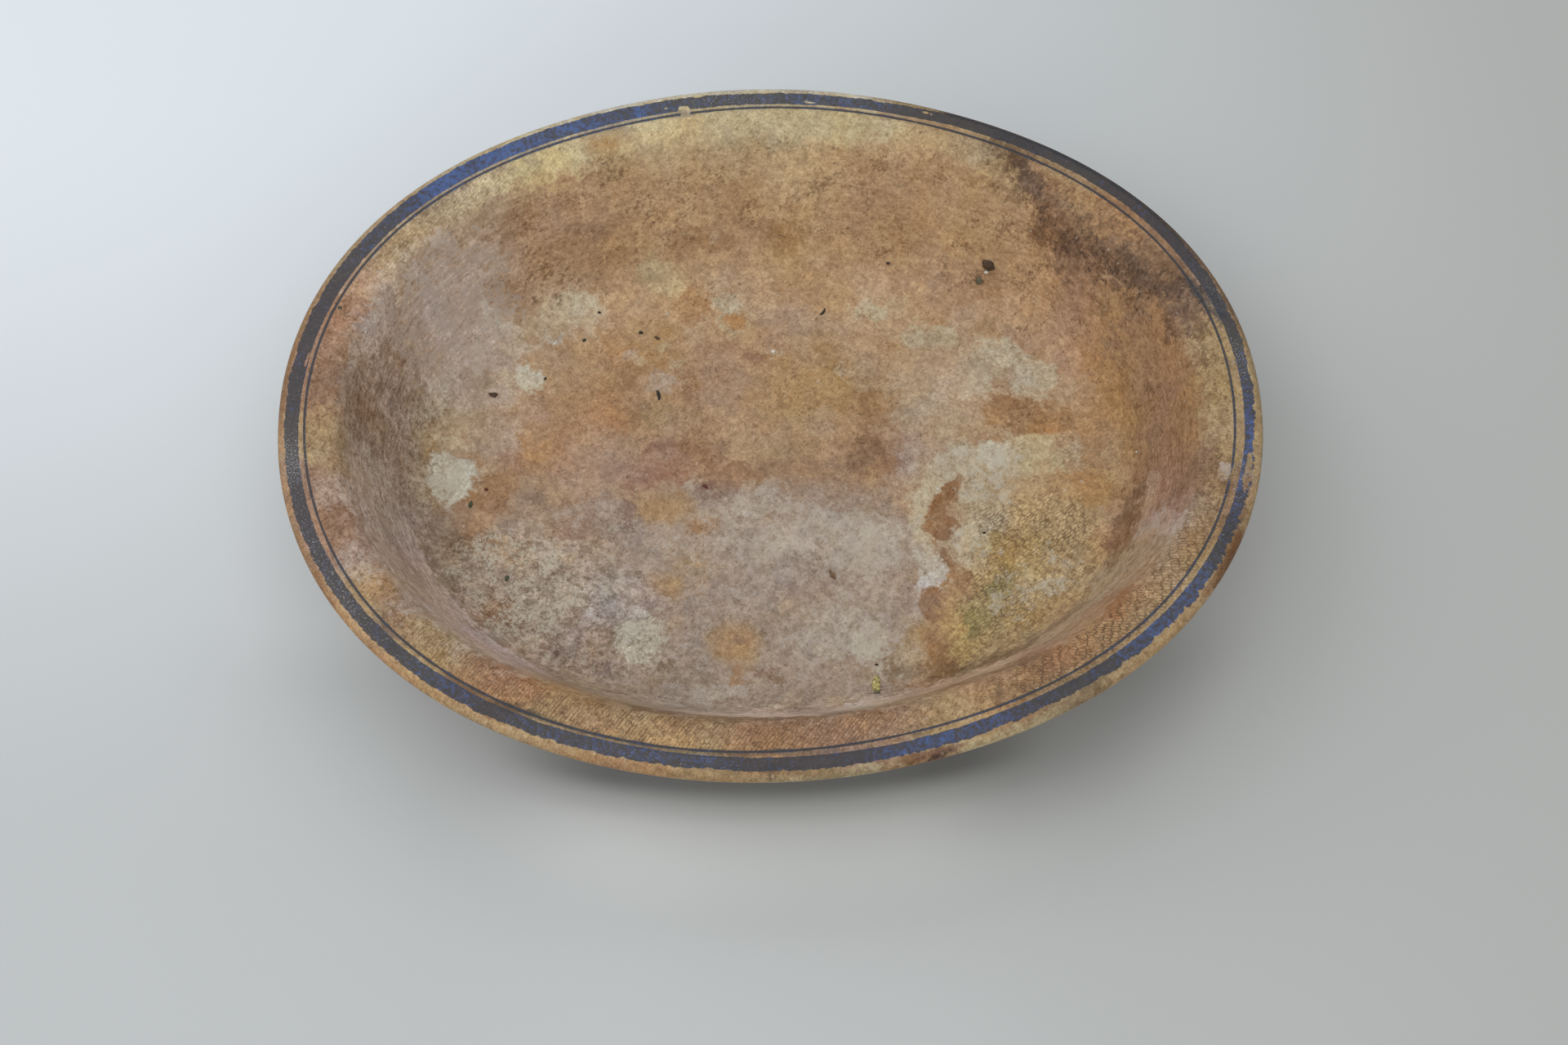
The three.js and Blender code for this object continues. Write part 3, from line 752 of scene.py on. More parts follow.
    fine(trail([(-21, 61.5), (-14, 62.5), (-6, 62), (2, 62.5), (8, 61)], 3.4, 0.5), AMBER, 0.6, 1.4, 1.4)
    fine(spot(-12, 63, 1.8, 0.8, 0, 0.2), LILAC, 0.7, 0.6, 0.6, 0.1)
    fine(trail([(20, 66), (30, 64), (40, 61)], 3.5, 0.5), SIENNA, 0.2, 1.6, 1.8, 0.5)
    fine(trail([(-14, 67.5), (-4, 69), (6, 68)], 3.0, 0.5), COCOA, 0.22, 1.4, 1.8, 0.5)
    fine(trail([(-40, 66), (-30, 68), (-20, 69.5)], 2.6, 0.5), COCOA, 0.2, 1.4, 1.8, 0.5)

    # back right: pale patches, the dark arms that run in from the rim
    fine(spot(60, 55, 6, 4, -30, 0.5), BELT, 0.6, 1.8)
    fine(spot(66, 49, 5, 3.5, -40, 0.5), HONEY, 0.6, 1.5)
    blot([(33.5, 36.5), (35, 39.8), (39, 40.2), (40.3, 37.5), (38.5, 35.2), (35.5, 34)], PALE, 0.9, 0.6, 0.9, 0.1, 0.25)
    blot([(41, 37.5), (42.5, 40), (46, 39.5), (48, 37), (46, 34), (42.5, 32.5), (41, 35)], PALE, 0.85, 0.6, 0.9, 0.1, 0.25)
    blot([(51.5, 33), (54, 36.3), (59, 36.6), (62.5, 33.5), (61, 30.5), (55, 30)], PALE, 0.9, 0.8, 1.1, 0.15, 0.3)
    blot([(57, 28), (60, 31.5), (66, 32), (70, 29), (72.5, 24), (70, 21), (64, 22.5), (59, 23.5)], PALE, 0.85, 0.8, 1.2, 0.2, 0.3)
    fine(spot(45, 26, 5, 4, 0, 0.4), FAWN, 0.6, 1.2)
    fine(spot(56, 39.5, 6, 2.6, 0, 0.4), TAN, 0.55, 1.4)
    fine(trail([(60, 39), (62.5, 36), (64, 32)], 0.9, 0.2), COCOA, 0.6, 0.5, 0.6)
    fine(trail([(48, 41.5), (52, 42.5)], 1.0, 0.2), COCOA, 0.4, 0.5, 0.6)
    fine(spot(53, 66.5, 5, 3.4, -20, 0.4), KHAKI, 0.75, 1.2)
    fine(spot(45, 68, 4, 2.5, -15, 0.4), ROSE, 0.5, 1.4)
    fine(trail([(59, 71), (61, 67), (64, 62), (66, 58)], 5.0, 0.7), PLUM, 0.30, 2.4, 3.4, 0.75)
    fine(trail([(66, 58), (70, 52.5), (74, 47.5)], 6.0, 0.6), PLUM, 0.42, 2.6, 3.0, 0.6)
    fine(trail([(76, 45.5), (82, 41), (88, 36.5), (94, 31), (98, 27)], 7.0, 0.6), PLUM, 0.42, 2.8, 3.0, 0.6)
    fine(spot(97.5, 26.5, 6, 4, -55, 0.5), PLUM, 0.38, 2.0, 2.4, 0.4)
    fine(spot(62.5, 63, 3, 5, 30, 0.5), PLUM, 0.35, 2.0, 2.4, 0.5)
    fine(trail([(85, 38.5), (90, 35), (96, 29.5)], 3.6, 0.5), SOOT, 0.35, 1.8, 2.0, 0.4)
    fine(spot(89, 40.5, 3.5, 2, -40, 0.4), UMBER, 0.45, 1.2, 1.6, 0.5)
    fine(spot(65.5, 66, 2.4, 1.8, 0, 0.3), TERRA, 0.6, 1.0)
    fine(trail([(69, 61), (77, 54.5), (85, 47.5), (92, 40)], 4.6, 0.5), AMBER, 0.4, 2.0, 2.0)
    fine(spot(80, 50, 4, 2.5, -40, 0.4), SIENNA, 0.35, 1.4, 1.6, 0.5)

    # left: the white patch and what lies round it
    blot([(-82.6, 2.5), (-81, 5.6), (-79.8, 7), (-76.5, 6.2), (-74, 7), (-71.5, 5.5), (-70.4, 3), (-71.0, 0.5), (-71.2, -2.0), (-73.2, -4.2), (-76.0, -5.6),
          (-78.6, -4.8), (-80.8, -3), (-81.6, 0)], CHALK, 0.95, 0.5, 0.7, 0.05, 0.2)
    blot([(-81, 7), (-80, 13), (-75, 14), (-72.5, 9), (-74, 7)], PALE, 0.6, 1.2, 1.2)
    fine(trail([(-84.5, 20), (-85, 6), (-83, -9)], 4.5, 0.5), LICHEN, 0.7, 1.4, 1.4)
    fine(spot(-91.5, -4.5, 3.0, 4.2, 10, 0.4), PEARL, 0.65, 1.0)
    fine(spot(-95, 10, 2.4, 7, 0, 0.4), COCOA, 0.45, 1.4, 1.5, 0.4)
    fine(spot(-90, 17, 2.0, 5, -10, 0.4), DUSK, 0.55, 1.2)
    fine(spot(-87, 12, 1.4, 7, -8, 0.3), PEARL, 0.5, 1.0)
    blot([(-60, 5), (-60, 13), (-55, 14.5), (-51.5, 10), (-52, 5), (-56, 3)], GOLD, 0.75, 1.2)
    fine(spot(-63, 4.5, 4.5, 4, 0, 0.4), TERRA, 0.7, 1.2)
    blot([(-70, -3), (-68, 1), (-62, 2), (-59.5, -2), (-62, -8.5), (-67, -9.5), (-69.5, -7)], ORANGE, 0.75, 1.2, 1.4)
    blot([(-76, -11), (-70, -9.5), (-66, -11), (-68, -15.5), (-73, -16.5)], SIENNA, 0.6, 1.2, 1.4)
    blot([(-72, 8), (-71, 16), (-64, 19), (-60, 16), (-60, 9), (-66, 7)], BLUSH, 0.7, 1.4, 1.6, 0.4)
    blot([(-53, -2), (-52, 6), (-44, 9), (-36, 7), (-35, -1), (-44, -3)], ROSE, 0.6, 1.4, 1.6)
    fine(spot(-57, -6.5, 5, 4, 0, 0.4), ROSE, 0.55, 1.4)
    fine(spot(-46, -13, 4, 2.8, 0, 0.4), PINK, 0.75, 1.0)
    blot([(-83, -14), (-78, -10), (-73, -13), (-71, -20), (-74, -27), (-80, -27), (-83, -20)], DUN, 0.75, 1.4, 1.6)

    # middle
    blot([(-40, 15), (-38, 21), (-31, 20), (-30, 14), (-36, 13)], AMBER, 0.6, 1.2)
    fine(spot(-34, 15, 2.5, 2, 0, 0.3), SIENNA, 0.5, 1.0)
    fine(spot(-26, 17.5, 4, 4, 0, 0.4), TAN, 0.55, 1.4)
    blot([(-31, 8), (-26, 6.8), (-19, 7), (-17.5, 3), (-20, -1), (-27, 1), (-31, 4)], PINK, 0.65, 1.2, 1.4)
    fine(spot(-27, 5, 3, 1.6, 0, 0.3), BLUSH, 0.35, 1.0)
    fine(trail([(-28, 8.8), (-24, 9), (-18, 8.4)], 2.6, 0.3), MAROON, 0.75, 1.0, 1.2)
    fine(trail([(-19.5, 8.8), (-15.5, 6.8), (-14, 3)], 2.8, 0.3), SIENNA, 0.75, 1.0, 1.2)
    fine(spot(-34.5, 3.5, 3, 1.5, 0, 0.3), COCOA, 0.6, 0.8, 1.2)
    fine(spot(-30, -2, 5, 2, 0, 0.3), TERRA, 0.6, 1.0)
    blot([(-31, -3), (-26, -4.5), (-20, -3.5), (-17, -7), (-19, -10.5), (-24, -11.5), (-29, -11), (-30, -7)], GOLD, 0.8, 0.8, 1.2, 0.3)
    fine(spot(5, 17, 7, 4.5, 0, 0.4), STRAW, 0.65, 1.4)
    fine(spot(5, 8, 8, 2.5, 0, 0.4), TAN, 0.6, 1.4)
    fine(trail([(-14, 3.5), (-4, 3), (6, 4), (16, 3)], 2.2, 0.4), COCOA, 0.35, 1.0, 1.6, 0.6)
    fine(spot(14.5, 15, 3, 4.5, 0, 0.3), BLUSH, 0.4, 1.2)
    blot([(20, 10), (30, 11), (33, 6), (31, 1.5), (24, 1.5), (20, 5)], SIENNA, 0.75, 1.2, 1.4)
    fine(spot(25, 18, 3, 4, 0, 0.4), ORANGE, 0.6, 1.2)
    fine(spot(20, 2, 3.5, 1.6, 0, 0.3), COCOA, 0.55, 1.0)
    fine(spot(-15.0, -2.2, 2.0, 1.5, -30, 0.2), MAROON, 0.85, 0.6, 0.7, 0.1)
    fine(spot(-17.2, -1.6, 2.0, 1.1, 20, 0.2), LIME, 0.7, 0.6, 0.7, 0.1)
    blot([(-18, -5), (-12, -3.5), (-2, -3), (2, -6), (0, -10), (-8, -11), (-15, -9)], PEARL, 0.75, 1.2, 1.4)
    blot([(4, -1.5), (12, -1), (24, -1), (28, -5), (22, -8.5), (12, -7.5), (6, -5)], DUSK, 0.6, 1.2, 1.5, 0.4)
    fine(spot(5, -5, 3, 2, 0, 0.3), BLUSH, 0.5, 0.8)
    fine(spot(-38, -8, 2.6, 2.4, 0, 0.3), PEARL, 0.75, 0.8)
    fine(trail([(-35, -2), (-33, -7), (-34, -11)], 2.6, 0.3), MAROON, 0.4, 1.0, 1.2)
    fine(spot(-22, -16, 6, 3.6, 0, 0.4), BLUSH, 0.55, 1.2)
    blot([(2, -14), (6, -12.5), (11, -15), (10, -19), (5, -19.5), (2.5, -17)], LILAC, 0.85, 0.8, 1.2, 0.15)
    blot([(16, -12), (22, -10.5), (30, -12), (33, -17), (28, -21), (20, -19), (15, -16)], PEARL, 0.8, 1.0, 1.4)
    fine(spot(25.5, -15, 3.5, 2, 0, 0.3), LIME, 0.5, 0.9)
    blot([(0, -20), (6, -19.5), (12, -22), (13, -26), (6, -27.5), (0, -25)], STONE, 0.75, 1.0, 1.4)
    fine(spot(5, -24, 3.5, 1.6, -10, 0.3), DUSK, 0.45, 0.8)
    fine(spot(-4, -14.3, 3.2, 1.3, 15, 0.3), DUSK, 0.55, 0.7, 1.0)
    fine(spot(-7.5, -19, 3, 1.3, 10, 0.3), DUSK, 0.6, 0.7, 1.0)
    fine(spot(25, -24, 4, 3, 0, 0.3), PEARL, 0.85, 1.0)
    fine(spot(16, -30.5, 5, 2.2, 0, 0.3), PEARL, 0.7, 1.0)
    fine(spot(28.5, -26, 2.2, 2.2, 0, 0.3), DRAB, 0.5, 0.8)
    blot([(-28.5, -25.5), (-25, -24.8), (-22, -26.5), (-21, -29.5), (-24, -30), (-27.5, -29)], GOLD, 0.7, 0.8, 1.2, 0.3)
    fine(spot(-17, -22, 2.2, 1.4, 0, 0.3), HONEY, 0.65, 0.7)
    fine(spot(-15, -13, 2.6, 1.2, 20, 0.3), AMBER, 0.6, 0.7)

    # right
    fine(spot(34.5, 3, 3.4, 6, -10, 0.4), KHAKI, 0.6, 1.4)
    fine(spot(33, 16, 4, 4, 0, 0.4), KHAKI, 0.5, 1.4)
    fine(spot(45, 12, 5, 3.5, 0, 0.4), KHAKI, 0.5, 1.2)
    blot([(55, 19.5), (58, 21), (64, 20.5), (68, 19), (66, 15.5), (67, 11.5), (61, 10.5), (60, 14), (56, 15.5)], SIENNA, 0.9, 0.7, 1.1, 0.15, 0.3)
    fine(spot(70.8, 15.5, 3.6, 4, 0, 0.3), HONEY, 0.7, 1.0)
    fine(spot(63, 12.2, 2.4, 1.4, 0, 0.3), STRAW, 0.6, 0.8)
    fine(spot(58.5, 18.2, 3.0, 1.6, 0, 0.3), RUST, 0.55, 0.8, 1.2, 0.4)
    fine(trail([(68.5, 19.5), (72.5, 18), (74, 13.5)], 1.6, 0.3), ORANGE, 0.6, 0.8, 1.2, 0.4)
    fine(spot(57.5, 25.8, 3.0, 3.2, 0, 0.4), SIENNA, 0.45, 1.0, 1.6, 0.5)
    fine(spot(48, 30.5, 3.4, 5, 0, 0.4), SAND, 0.55, 1.4)
    fine(spot(49, 43, 6, 4, 0, 0.4), SAND, 0.4, 1.8)
    fine(spot(66.5, 13, 2.2, 3.4, 0, 0.3), ORANGE, 0.6, 0.8)
    fine(trail([(34, -13), (36.5, -8), (39, -2), (42, 3), (46, 6.5)], 3.2, 0.3), PALE, 0.95, 0.8, 0.9, 0.1)
    blot([(50, 3), (52, 7.5), (57, 8.5), (60, 6), (59, 2.5), (54, 1)], CHALK, 0.8, 0.7, 1.1, 0.15, 0.3)
    fine(spot(47, 4, 3, 3, 0, 0.3), PALE, 0.75, 0.8)
    blot([(57, 4), (60, 9), (66, 9.4), (72, 8), (74.5, 4), (72, 0), (65, -0.5), (60, 1)], CREAM, 0.75, 0.8, 1.4)
    blot([(56, 2), (62, 2.4), (68, 1), (66, -4), (58, -5)], PALE, 0.5, 1.0, 1.6, 0.4)
    fine(trail([(35.5, 1), (34.5, -8), (36, -16), (38, -22)], 2.6, 0.4), PALE, 0.6, 0.8, 1.4, 0.3)
    fine(spot(73, 5.5, 3.4, 3, 0, 0.3), SAND, 0.7, 0.9)
    fine(spot(75.5, 4.5, 1.6, 2.4, 20, 0.2), PALE, 0.6, 0.6)
    fine(spot(80, 7, 3.5, 6, 0, 0.4), ORANGE, 0.6, 1.4)
    blot([(44.5, -0.5), (42, -3), (39.5, -7.5), (38.5, -10), (43, -10.4), (44.5, -6), (46, -3)], RUST, 0.95, 0.5, 0.7, 0.05, 0.2)
    blot([(38, -11), (43, -10.5), (46, -14), (44, -16.5), (40, -17.5), (36.8, -14.5)], SIENNA, 0.8, 0.6, 0.9, 0.2, 0.25)
    fine(spot(49, -4.5, 2.4, 4.5, 0, 0.3), PALE, 0.75, 0.8)
    fine(spot(54, -5.5, 2.4, 3.2, 0, 0.3), TAN, 0.7, 0.8)
    blot([(57, -1), (66, 0), (74, -2), (75, -8), (66, -9), (58, -8)], STRAW, 0.8, 1.2, 1.4)
    blot([(73, -1), (80, 0), (84, -4), (82, -9), (76, -9)], AMBER, 0.65, 1.2)
    fine(spot(51, -14.5, 2.4, 3.4, 0, 0.3), PALE, 0.8, 0.8)
    fine(spot(61, -13.5, 5, 2.8, 0, 0.4), STRAW, 0.65, 1.0)
    fine(trail([(86.5, -10), (84.2, -15.5), (82, -21)], 3.4, 0.5), UMBER, 0.55, 1.4, 2.0, 0.4)
    fine(trail([(90.5, -8), (89.5, -14), (87, -20)], 2.2, 0.3), FAWN, 0.7, 0.8)
    fine(spot(94.5, -19, 2.6, 5, 10, 0.3), MAROON, 0.5, 1.2)
    fine(spot(88, -25, 2.6, 4, 25, 0.3), FAWN, 0.6, 1.0)
    blot([(43.5, -24.5), (47, -24), (49.5, -28), (48, -32), (44, -32), (43, -28)], AMBER, 0.8, 0.8, 1.0, 0.15)
    blot([(36, -25), (38, -21), (42, -20.5), (43, -25), (40, -29), (36, -30)], LIME, 0.75, 0.8, 1.1)
    fine(trail([(41.3, -20.6), (42.4, -22.6), (43.8, -24.2)], 1.1, 0.15), SIENNA, 0.85, 0.4, 0.5, 0.0)
    fine(spot(55, -30, 4, 3, 40, 0.3), MOSS, 0.6, 1.0)
    fine(spot(70, -24, 4, 3, 30, 0.3), STRAW, 0.6, 1.0)

    # left: where the flange turns down, and the wall below it
    fine(rim(158, 15.2, 15, 1.4, 0.0, 0.3), PEARL, 0.6, 0.6, 1.0, 0.25)
    fine(trail([(-96, 19), (-95.5, 9), (-94, 1)], 3.6, 0.5), UMBER, 0.38, 1.4, 2.2, 0.5)
    fine(trail([(-91, 26), (-90.5, 12), (-89.5, 2)], 2.4, 0.4), DUN, 0.5, 1.0, 1.8, 0.5)
    fine(trail([(-87, 8), (-85, -6), (-82, -16)], 3.0, 0.5), DRAB, 0.5, 1.4, 2.0, 0.4)
    fine(trail([(-94, -10), (-89, -20), (-84, -28)], 1.8, 0.4), DUN, 0.45, 0.9, 1.6, 0.5)

    # front left: crust with brown between
    fine(spot(-50, -30, 10, 4.5, -10, 0.6), PEARL, 0.55, 2.0, 3.0, 0.4)
    fine(spot(-38, -31, 7, 5, 0, 0.6), PEARL, 0.5, 2.0, 3.0, 0.4)
    fine(spot(-55, -20, 9, 4, 0, 0.6), SAND, 0.4, 2.0, 3.0, 0.4)
    fine(spot(-75, -26, 3, 3, 0, 0.4), DUN, 0.6, 1.2)
    fine(spot(-64, -34.5, 4.4, 3.4, 0, 0.3), SIENNA, 0.75, 0.9, 1.2)
    blot([(-41, -22), (-36, -21.5), (-34.5, -25), (-37, -27.5), (-40, -26)], DUN, 0.75, 0.9, 1.2)
    fine(spot(-33, -35, 4, 2.4, 30, 0.3), PEARL, 0.8, 1.0)
    blot([(-38, -40), (-33, -35), (-28, -36), (-25, -42), (-27, -47), (-32, -48), (-36, -45)], LIME, 0.85, 1.0, 1.4)
    blot([(-46, -47), (-40, -45), (-37, -49), (-40, -52), (-46, -50)], DUSK, 0.75, 1.0, 1.2)
    fine(spot(-25, -50.5, 4, 2.6, 0, 0.3), DUN, 0.75, 0.9, 1.2)
    fine(trail([(-70, -41), (-62, -47), (-55, -52)], 3.4, 0.4), HAZE, 0.6, 1.2)
    fine(trail([(-74, -34), (-66, -41), (-58, -47), (-46, -52.5)], 1.6, 0.3), DUN, 0.5, 0.8, 1.0)
    fine(trail([(-94, -2), (-92, -8), (-88, -15), (-83, -22), (-79, -27.5)], 2.4, 0.4), PEARL, 0.5, 1.0, 1.6, 0.4)
    fine(trail([(-79.5, -27), (-73.5, -36.5), (-67, -43), (-60, -48)], 3.4, 0.4), PEARL, 0.6, 1.2, 1.4, 0.2)
    fine(trail([(-76.5, -28.5), (-71, -34.8), (-63.5, -42.8), (-53.5, -49.5), (-45, -52.5)], 1.1, 0.3), DUN, 0.7, 0.6, 0.9, 0.3)
    fine(spot(-57, -43, 3, 2.4, 0, 0.3), PEARL, 0.6, 0.9)
    fine(spot(-48, -32, 4, 3, 0, 0.3), PEARL, 0.5, 0.9)
    fine(spot(-12, -55.5, 5, 2.4, 0, 0.3), PEARL, 0.7, 0.9)

    # front
    blot([(-14.5, -40), (-11, -38), (-6, -38.5), (-3.5, -41), (-3.5, -44), (-6, -46.8), (-11, -46.5), (-14, -45)], HONEY, 0.85, 0.6, 0.8, 0.1, 0.2)
    fine(spot(-7.5, -42.3, 1.5, 1.2, 0, 0.15), COCOA, 0.75, 0.6, 0.5, 0.0)
    blot([(-5, -48.5), (-1, -48.3), (3, -50), (0, -51.6), (-4, -51.6)], COCOA, 0.85, 0.6, 0.8, 0.2, 0.2)
    fine(spot(-7.5, -51, 1.8, 2.4, 0, 0.2), AMBER, 0.65, 0.6, 0.7)
    blot([(9, -33), (16, -31.5), (21, -35), (18, -39), (11, -38)], PEARL, 0.85, 1.0, 1.4)
    blot([(18, -40), (24, -39), (28, -42), (26, -46), (20, -47), (17, -44)], LIME, 0.6, 1.2, 1.8, 0.4)
    fine(spot(14, -45, 4, 2.6, 0, 0.3), PEARL, 0.8, 1.0)
    fine(trail([(28, -44), (26.5, -48), (27.5, -52)], 2.2, 0.3), BROWN, 0.6, 0.8, 1.0)
    fine(spot(31, -36, 3.5, 3, 0, 0.3), DRAB, 0.5, 1.0)
    blot([(36, -31), (41, -30), (43, -34), (40, -40), (36, -38)], SIENNA, 0.85, 0.8, 1.1, 0.15)
    blot([(40, -36), (45, -35), (46, -41), (42, -43), (40, -40)], OCHRE, 0.75, 0.9, 1.1)
    blot([(35.5, -42), (41, -43), (43, -48), (40, -52.5), (36.5, -51)], ORANGE, 0.8, 0.9, 1.1)
    fine(spot(44.5, -45.5, 3, 2.4, 0, 0.3), OLIVE, 0.7, 0.9)
    fine(spot(41, -52, 3, 1.3, 20, 0.3), UMBER, 0.5, 0.8)
    fine(spot(25, -57, 5, 1.8, 0, 0.3), DUN, 0.55, 0.9)
    fine(spot(0, -57, 4, 1.8, 0, 0.3), STONE, 0.6, 0.9)

    # flange, corrected here and there
    fine(rim(116, 9.5, 5, 4, 0.0, 0.3), LICHEN, 0.7, 1.4, 1.4)
    fine(rim(138, 10, 4, 4, 0.0, 0.3), PALE, 0.5, 1.4, 1.4)
    fine(rim(173, 10, 4, 3.4, 0.0, 0.3), BROWN, 0.55, 1.4, 1.4)
    fine(rim(188, 9, 2.4, 4, 0.0, 0.3), TERRA, 0.45, 1.4, 1.4)
    fine(rim(209, 10, 3.5, 4, 0.0, 0.3), SIENNA, 0.55, 1.4, 1.4)
    fine(rim(241, 10, 5, 3.4, 0.0, 0.3), TERRA, 0.45, 1.4, 1.4)
    fine(rim(285, 9.5, 5, 3.4, 0.0, 0.3), HONEY, 0.45, 1.4, 1.4)
    fine(rim(310, 9.5, 5, 3.4, 0.0, 0.3), SIENNA, 0.4, 1.4, 1.4)
    fine(rim(321, 9.5, 5, 3.4, 0.0, 0.3), AMBER, 0.35, 1.4, 1.4)
    fine(rim(332, 9.5, 4, 3.4, 0.0, 0.3), SAND, 0.45, 1.4, 1.4)
    fine(rim(341, 9.5, 4, 3.4, 0.0, 0.3), HONEY, 0.5, 1.4, 1.4)
    fine(rim(350, 9.5, 4, 3.4, 0.0, 0.3), OCHRE, 0.35, 1.4, 1.4)
    fine(rim(357, 9.5, 3.5, 3.4, 0.0, 0.3), STRAW, 0.6, 1.4, 1.4)
    fine(rim(14, 9.5, 3.5, 3.4, 0.0, 0.3), BROWN, 0.35, 1.4, 1.4)
    fine(rim(24, 9.5, 3.5, 3.4, 0.0, 0.3), SIENNA, 0.4, 1.4, 1.4)
    fine(rim(55.5, 9.5, 3.5, 4, 0.0, 0.3), MAUVE, 0.5, 1.4, 1.4)
    # paint and dirt smeared between the band and the line, and across both at one place
    fine(rim(250, 5.65, 34, 0.9, 0.0, 0.15), SLATE, 0.62, 0.5, 0.5, 0.3)
    fine(rim(46, 4.9, 24, 0.8, 0.0, 0.15), COCOA, 0.55, 0.5, 0.5, 0.3)
    fine(rim(78, 5.6, 14, 0.7, 0.0, 0.15), COCOA, 0.35, 0.5, 0.5, 0.4)
    fine(rim(118, 5.9, 26, 0.7, 0.0, 0.15), PEARL, 0.5, 0.5, 0.5, 0.3)
    fine(rim(118, 5.9, 24, 0.6, 0.0, 0.15), SLATE, 0.3, 0.5, 0.5, 0.4)
    fine(rim(350, 5.5, 8, 0.7, 0.0, 0.15), COCOA, 0.4, 0.5, 0.5, 0.4)
    # red brown stain and grime on the lip
    fine(rim(293, 1.1, 7, 1.1, 0.0, 0.2), RUST, 0.4, 0.6, 0.8, 0.3)
    fine(rim(293.5, 1.2, 2.6, 0.7, 0.0, 0.2), MAROON, 0.8, 0.4, 0.6, 0.1)
    fine(rim(294.5, 1.1, 1.4, 0.5, 0.0, 0.2), SOOT, 0.5, 0.4, 0.6, 0.1)
    fine(rim(314, 5.5, 7, 0.8, 0.0, 0.15), UMBER, 0.4, 0.5, 0.5, 0.5)
    fine(rim(20.5, 5.4, 3, 0.8, 0.0, 0.15), COCOA, 0.6, 0.5, 0.5, 0.4)
    fine(rim(15.2, 5.6, 3.8, 1.9, 0.4, 0.3), SLATE, 0.8, 0.7, 1.0, 0.45)
    fine(rim(48.5, 6.6, 1.4, 2.0, -0.8, 0.3), UMBER, 0.7, 0.7, 1.0, 0.3)
    # rosy brown in the middle, paler lower left and olive
    fine(spot(-30, 4, 6, 4, 0, 0.5), PINK, 0.4, 2.0)
    fine(spot(-34, -8, 4, 3, 0, 0.5), PINK, 0.45, 1.5)
    fine(spot(10, -30, 5, 3, 0, 0.5), DUSK, 0.5, 1.5)
    fine(spot(-78, -25, 3, 4, 20, 0.4), LICHEN, 0.5, 1.2)
    fine(spot(-65, -20, 4, 4, 0, 0.4), FAWN, 0.6, 1.4)
    fine(spot(-56, -32, 4, 4, 0, 0.4), PEARL, 0.6, 1.4)
    fine(spot(-56, 42, 4, 3, 0, 0.4), PALE, 0.7, 1.2)
    fine(spot(-41, 41, 5, 4, 0, 0.4), FAWN, 0.5, 1.5)
    fine(spot(20, 40, 5, 4, 0, 0.4), FAWN, 0.5, 1.5)
    fine(spot(-79, 22, 3, 4, 0, 0.4), PALE, 0.6, 1.2)
    fine(spot(55, -12, 3, 3, 0, 0.3), PALE, 0.7, 1.0)
    fine(spot(68, -31, 5, 3, 35, 0.4), STRAW, 0.55, 1.4)
    # the walls as a whole, painted lighter: painted light where the lamps leave the steep walls in shade, most on the
    # left
    wall_on = smooth(d, 14.0, 17.0) * (1.0 - smooth(d, 26.0, 31.0))
    m.tint *= (1.0 + wall_on * runs([(0, 0.08), (20, 0.12), (34, 0.0), (44, 0.06), (55, 0.1), (90, 0.12), (122, 0.14), (135, 0.16), (180, 0.18), (230, 0.16), (250, 0.05),
                                     (300, 0.05), (325, 0.1), (345, 0.06)], deg))[:, None]

    # --- thin washes: grime that has settled, glaze worn or faded, drifts of hue, and painted shade along the front edge where the flange drops to the wall
    def wash(shape, rgb, soft=2.6, ragged=2.4, patchy=0.15):
        m.tint = m.tint * (1.0 + (np.array(rgb) - 1.0) * m.amount(shape, soft, ragged, patchy)[:, None])

    grime, soil_and_shade, faded, bare = (0.85, 0.84, 0.83), (0.72, 0.71, 0.70), (1.13, 1.14, 1.14), (1.22, 1.23, 1.22)
    cooler, warmer, rosier, redder = (0.98, 1.0, 1.10), (1.02, 1.0, 0.89), (1.06, 0.98, 0.99), (1.07, 0.98, 0.89)
    wash(trail([(-62, 56), (-45, 57), (-30, 57.5), (-15, 60.5), (5, 60.5), (20, 58), (38, 57)], 8), grime)
    # painted shade: a dark line along the front edge where the flange drops to the wall
    wash(trail([(-36, -67.5), (-22, -71), (0, -73), (14, -71.8), (26, -69)], 3.4), soil_and_shade)
    wash(trail([(28, -51), (40, -49.5), (52, -49.5), (60, -45)], 4), soil_and_shade)
    wash(trail([(42, -63), (55, -60), (64, -54)], 6), grime)
    wash(trail([(50, -71), (62, -66), (72, -60)], 8), grime)
    wash(trail([(-86, -28), (-81, -37), (-77, -42)], 3), grime)
    wash(trail([(-74, -41), (-63, -47.5), (-53, -43)], 5), faded)
    wash(trail([(-83, -14), (-81, -25)], 4), faded)
    wash(patch([(54, -2), (66, 0), (74, -8), (74, -30), (66, -36), (58, -28), (56, -14)]), faded, 4)
    for x, y, rx, ry, turn in ((-61, 46, 5, 4, 0), (47.5, 48.5, 7, 4, 0), (86, 32, 3, 5, 20), (97, 25, 3, 4, 0), (71, 56, 3, 4, 0), (40, 35, 3, 4, 0), (-26, 0, 6, 3.5, 0),
                               (-33, -9, 3.5, 6, 0), (-29, 17, 3, 4, 0), (-20, 18, 3, 3, 0), (-35, 28, 3, 4, 0), (20, 18, 4, 3, 0), (76, -46, 4, 4, 0), (-18, -51, 4, 4, 0),
                               (6, -60, 3, 4, 0), (-46, -58, 4, 4, 0), (-84, -51, 5, 3.5, -40), (-52, -72, 5, 3, -20), (-95, -33, 4, 3, 0), (104, -15, 5, 3, 0), (97, -15, 3, 4, 0)):
        wash(spot(x, y, rx, ry, turn), grime)
    for x, y, rx, ry, turn in ((95, 37, 7, 4, -40), (-13, -3, 4, 4, 0), (103, -33, 4, 4, 0)):
        wash(spot(x, y, rx, ry, turn), soil_and_shade)
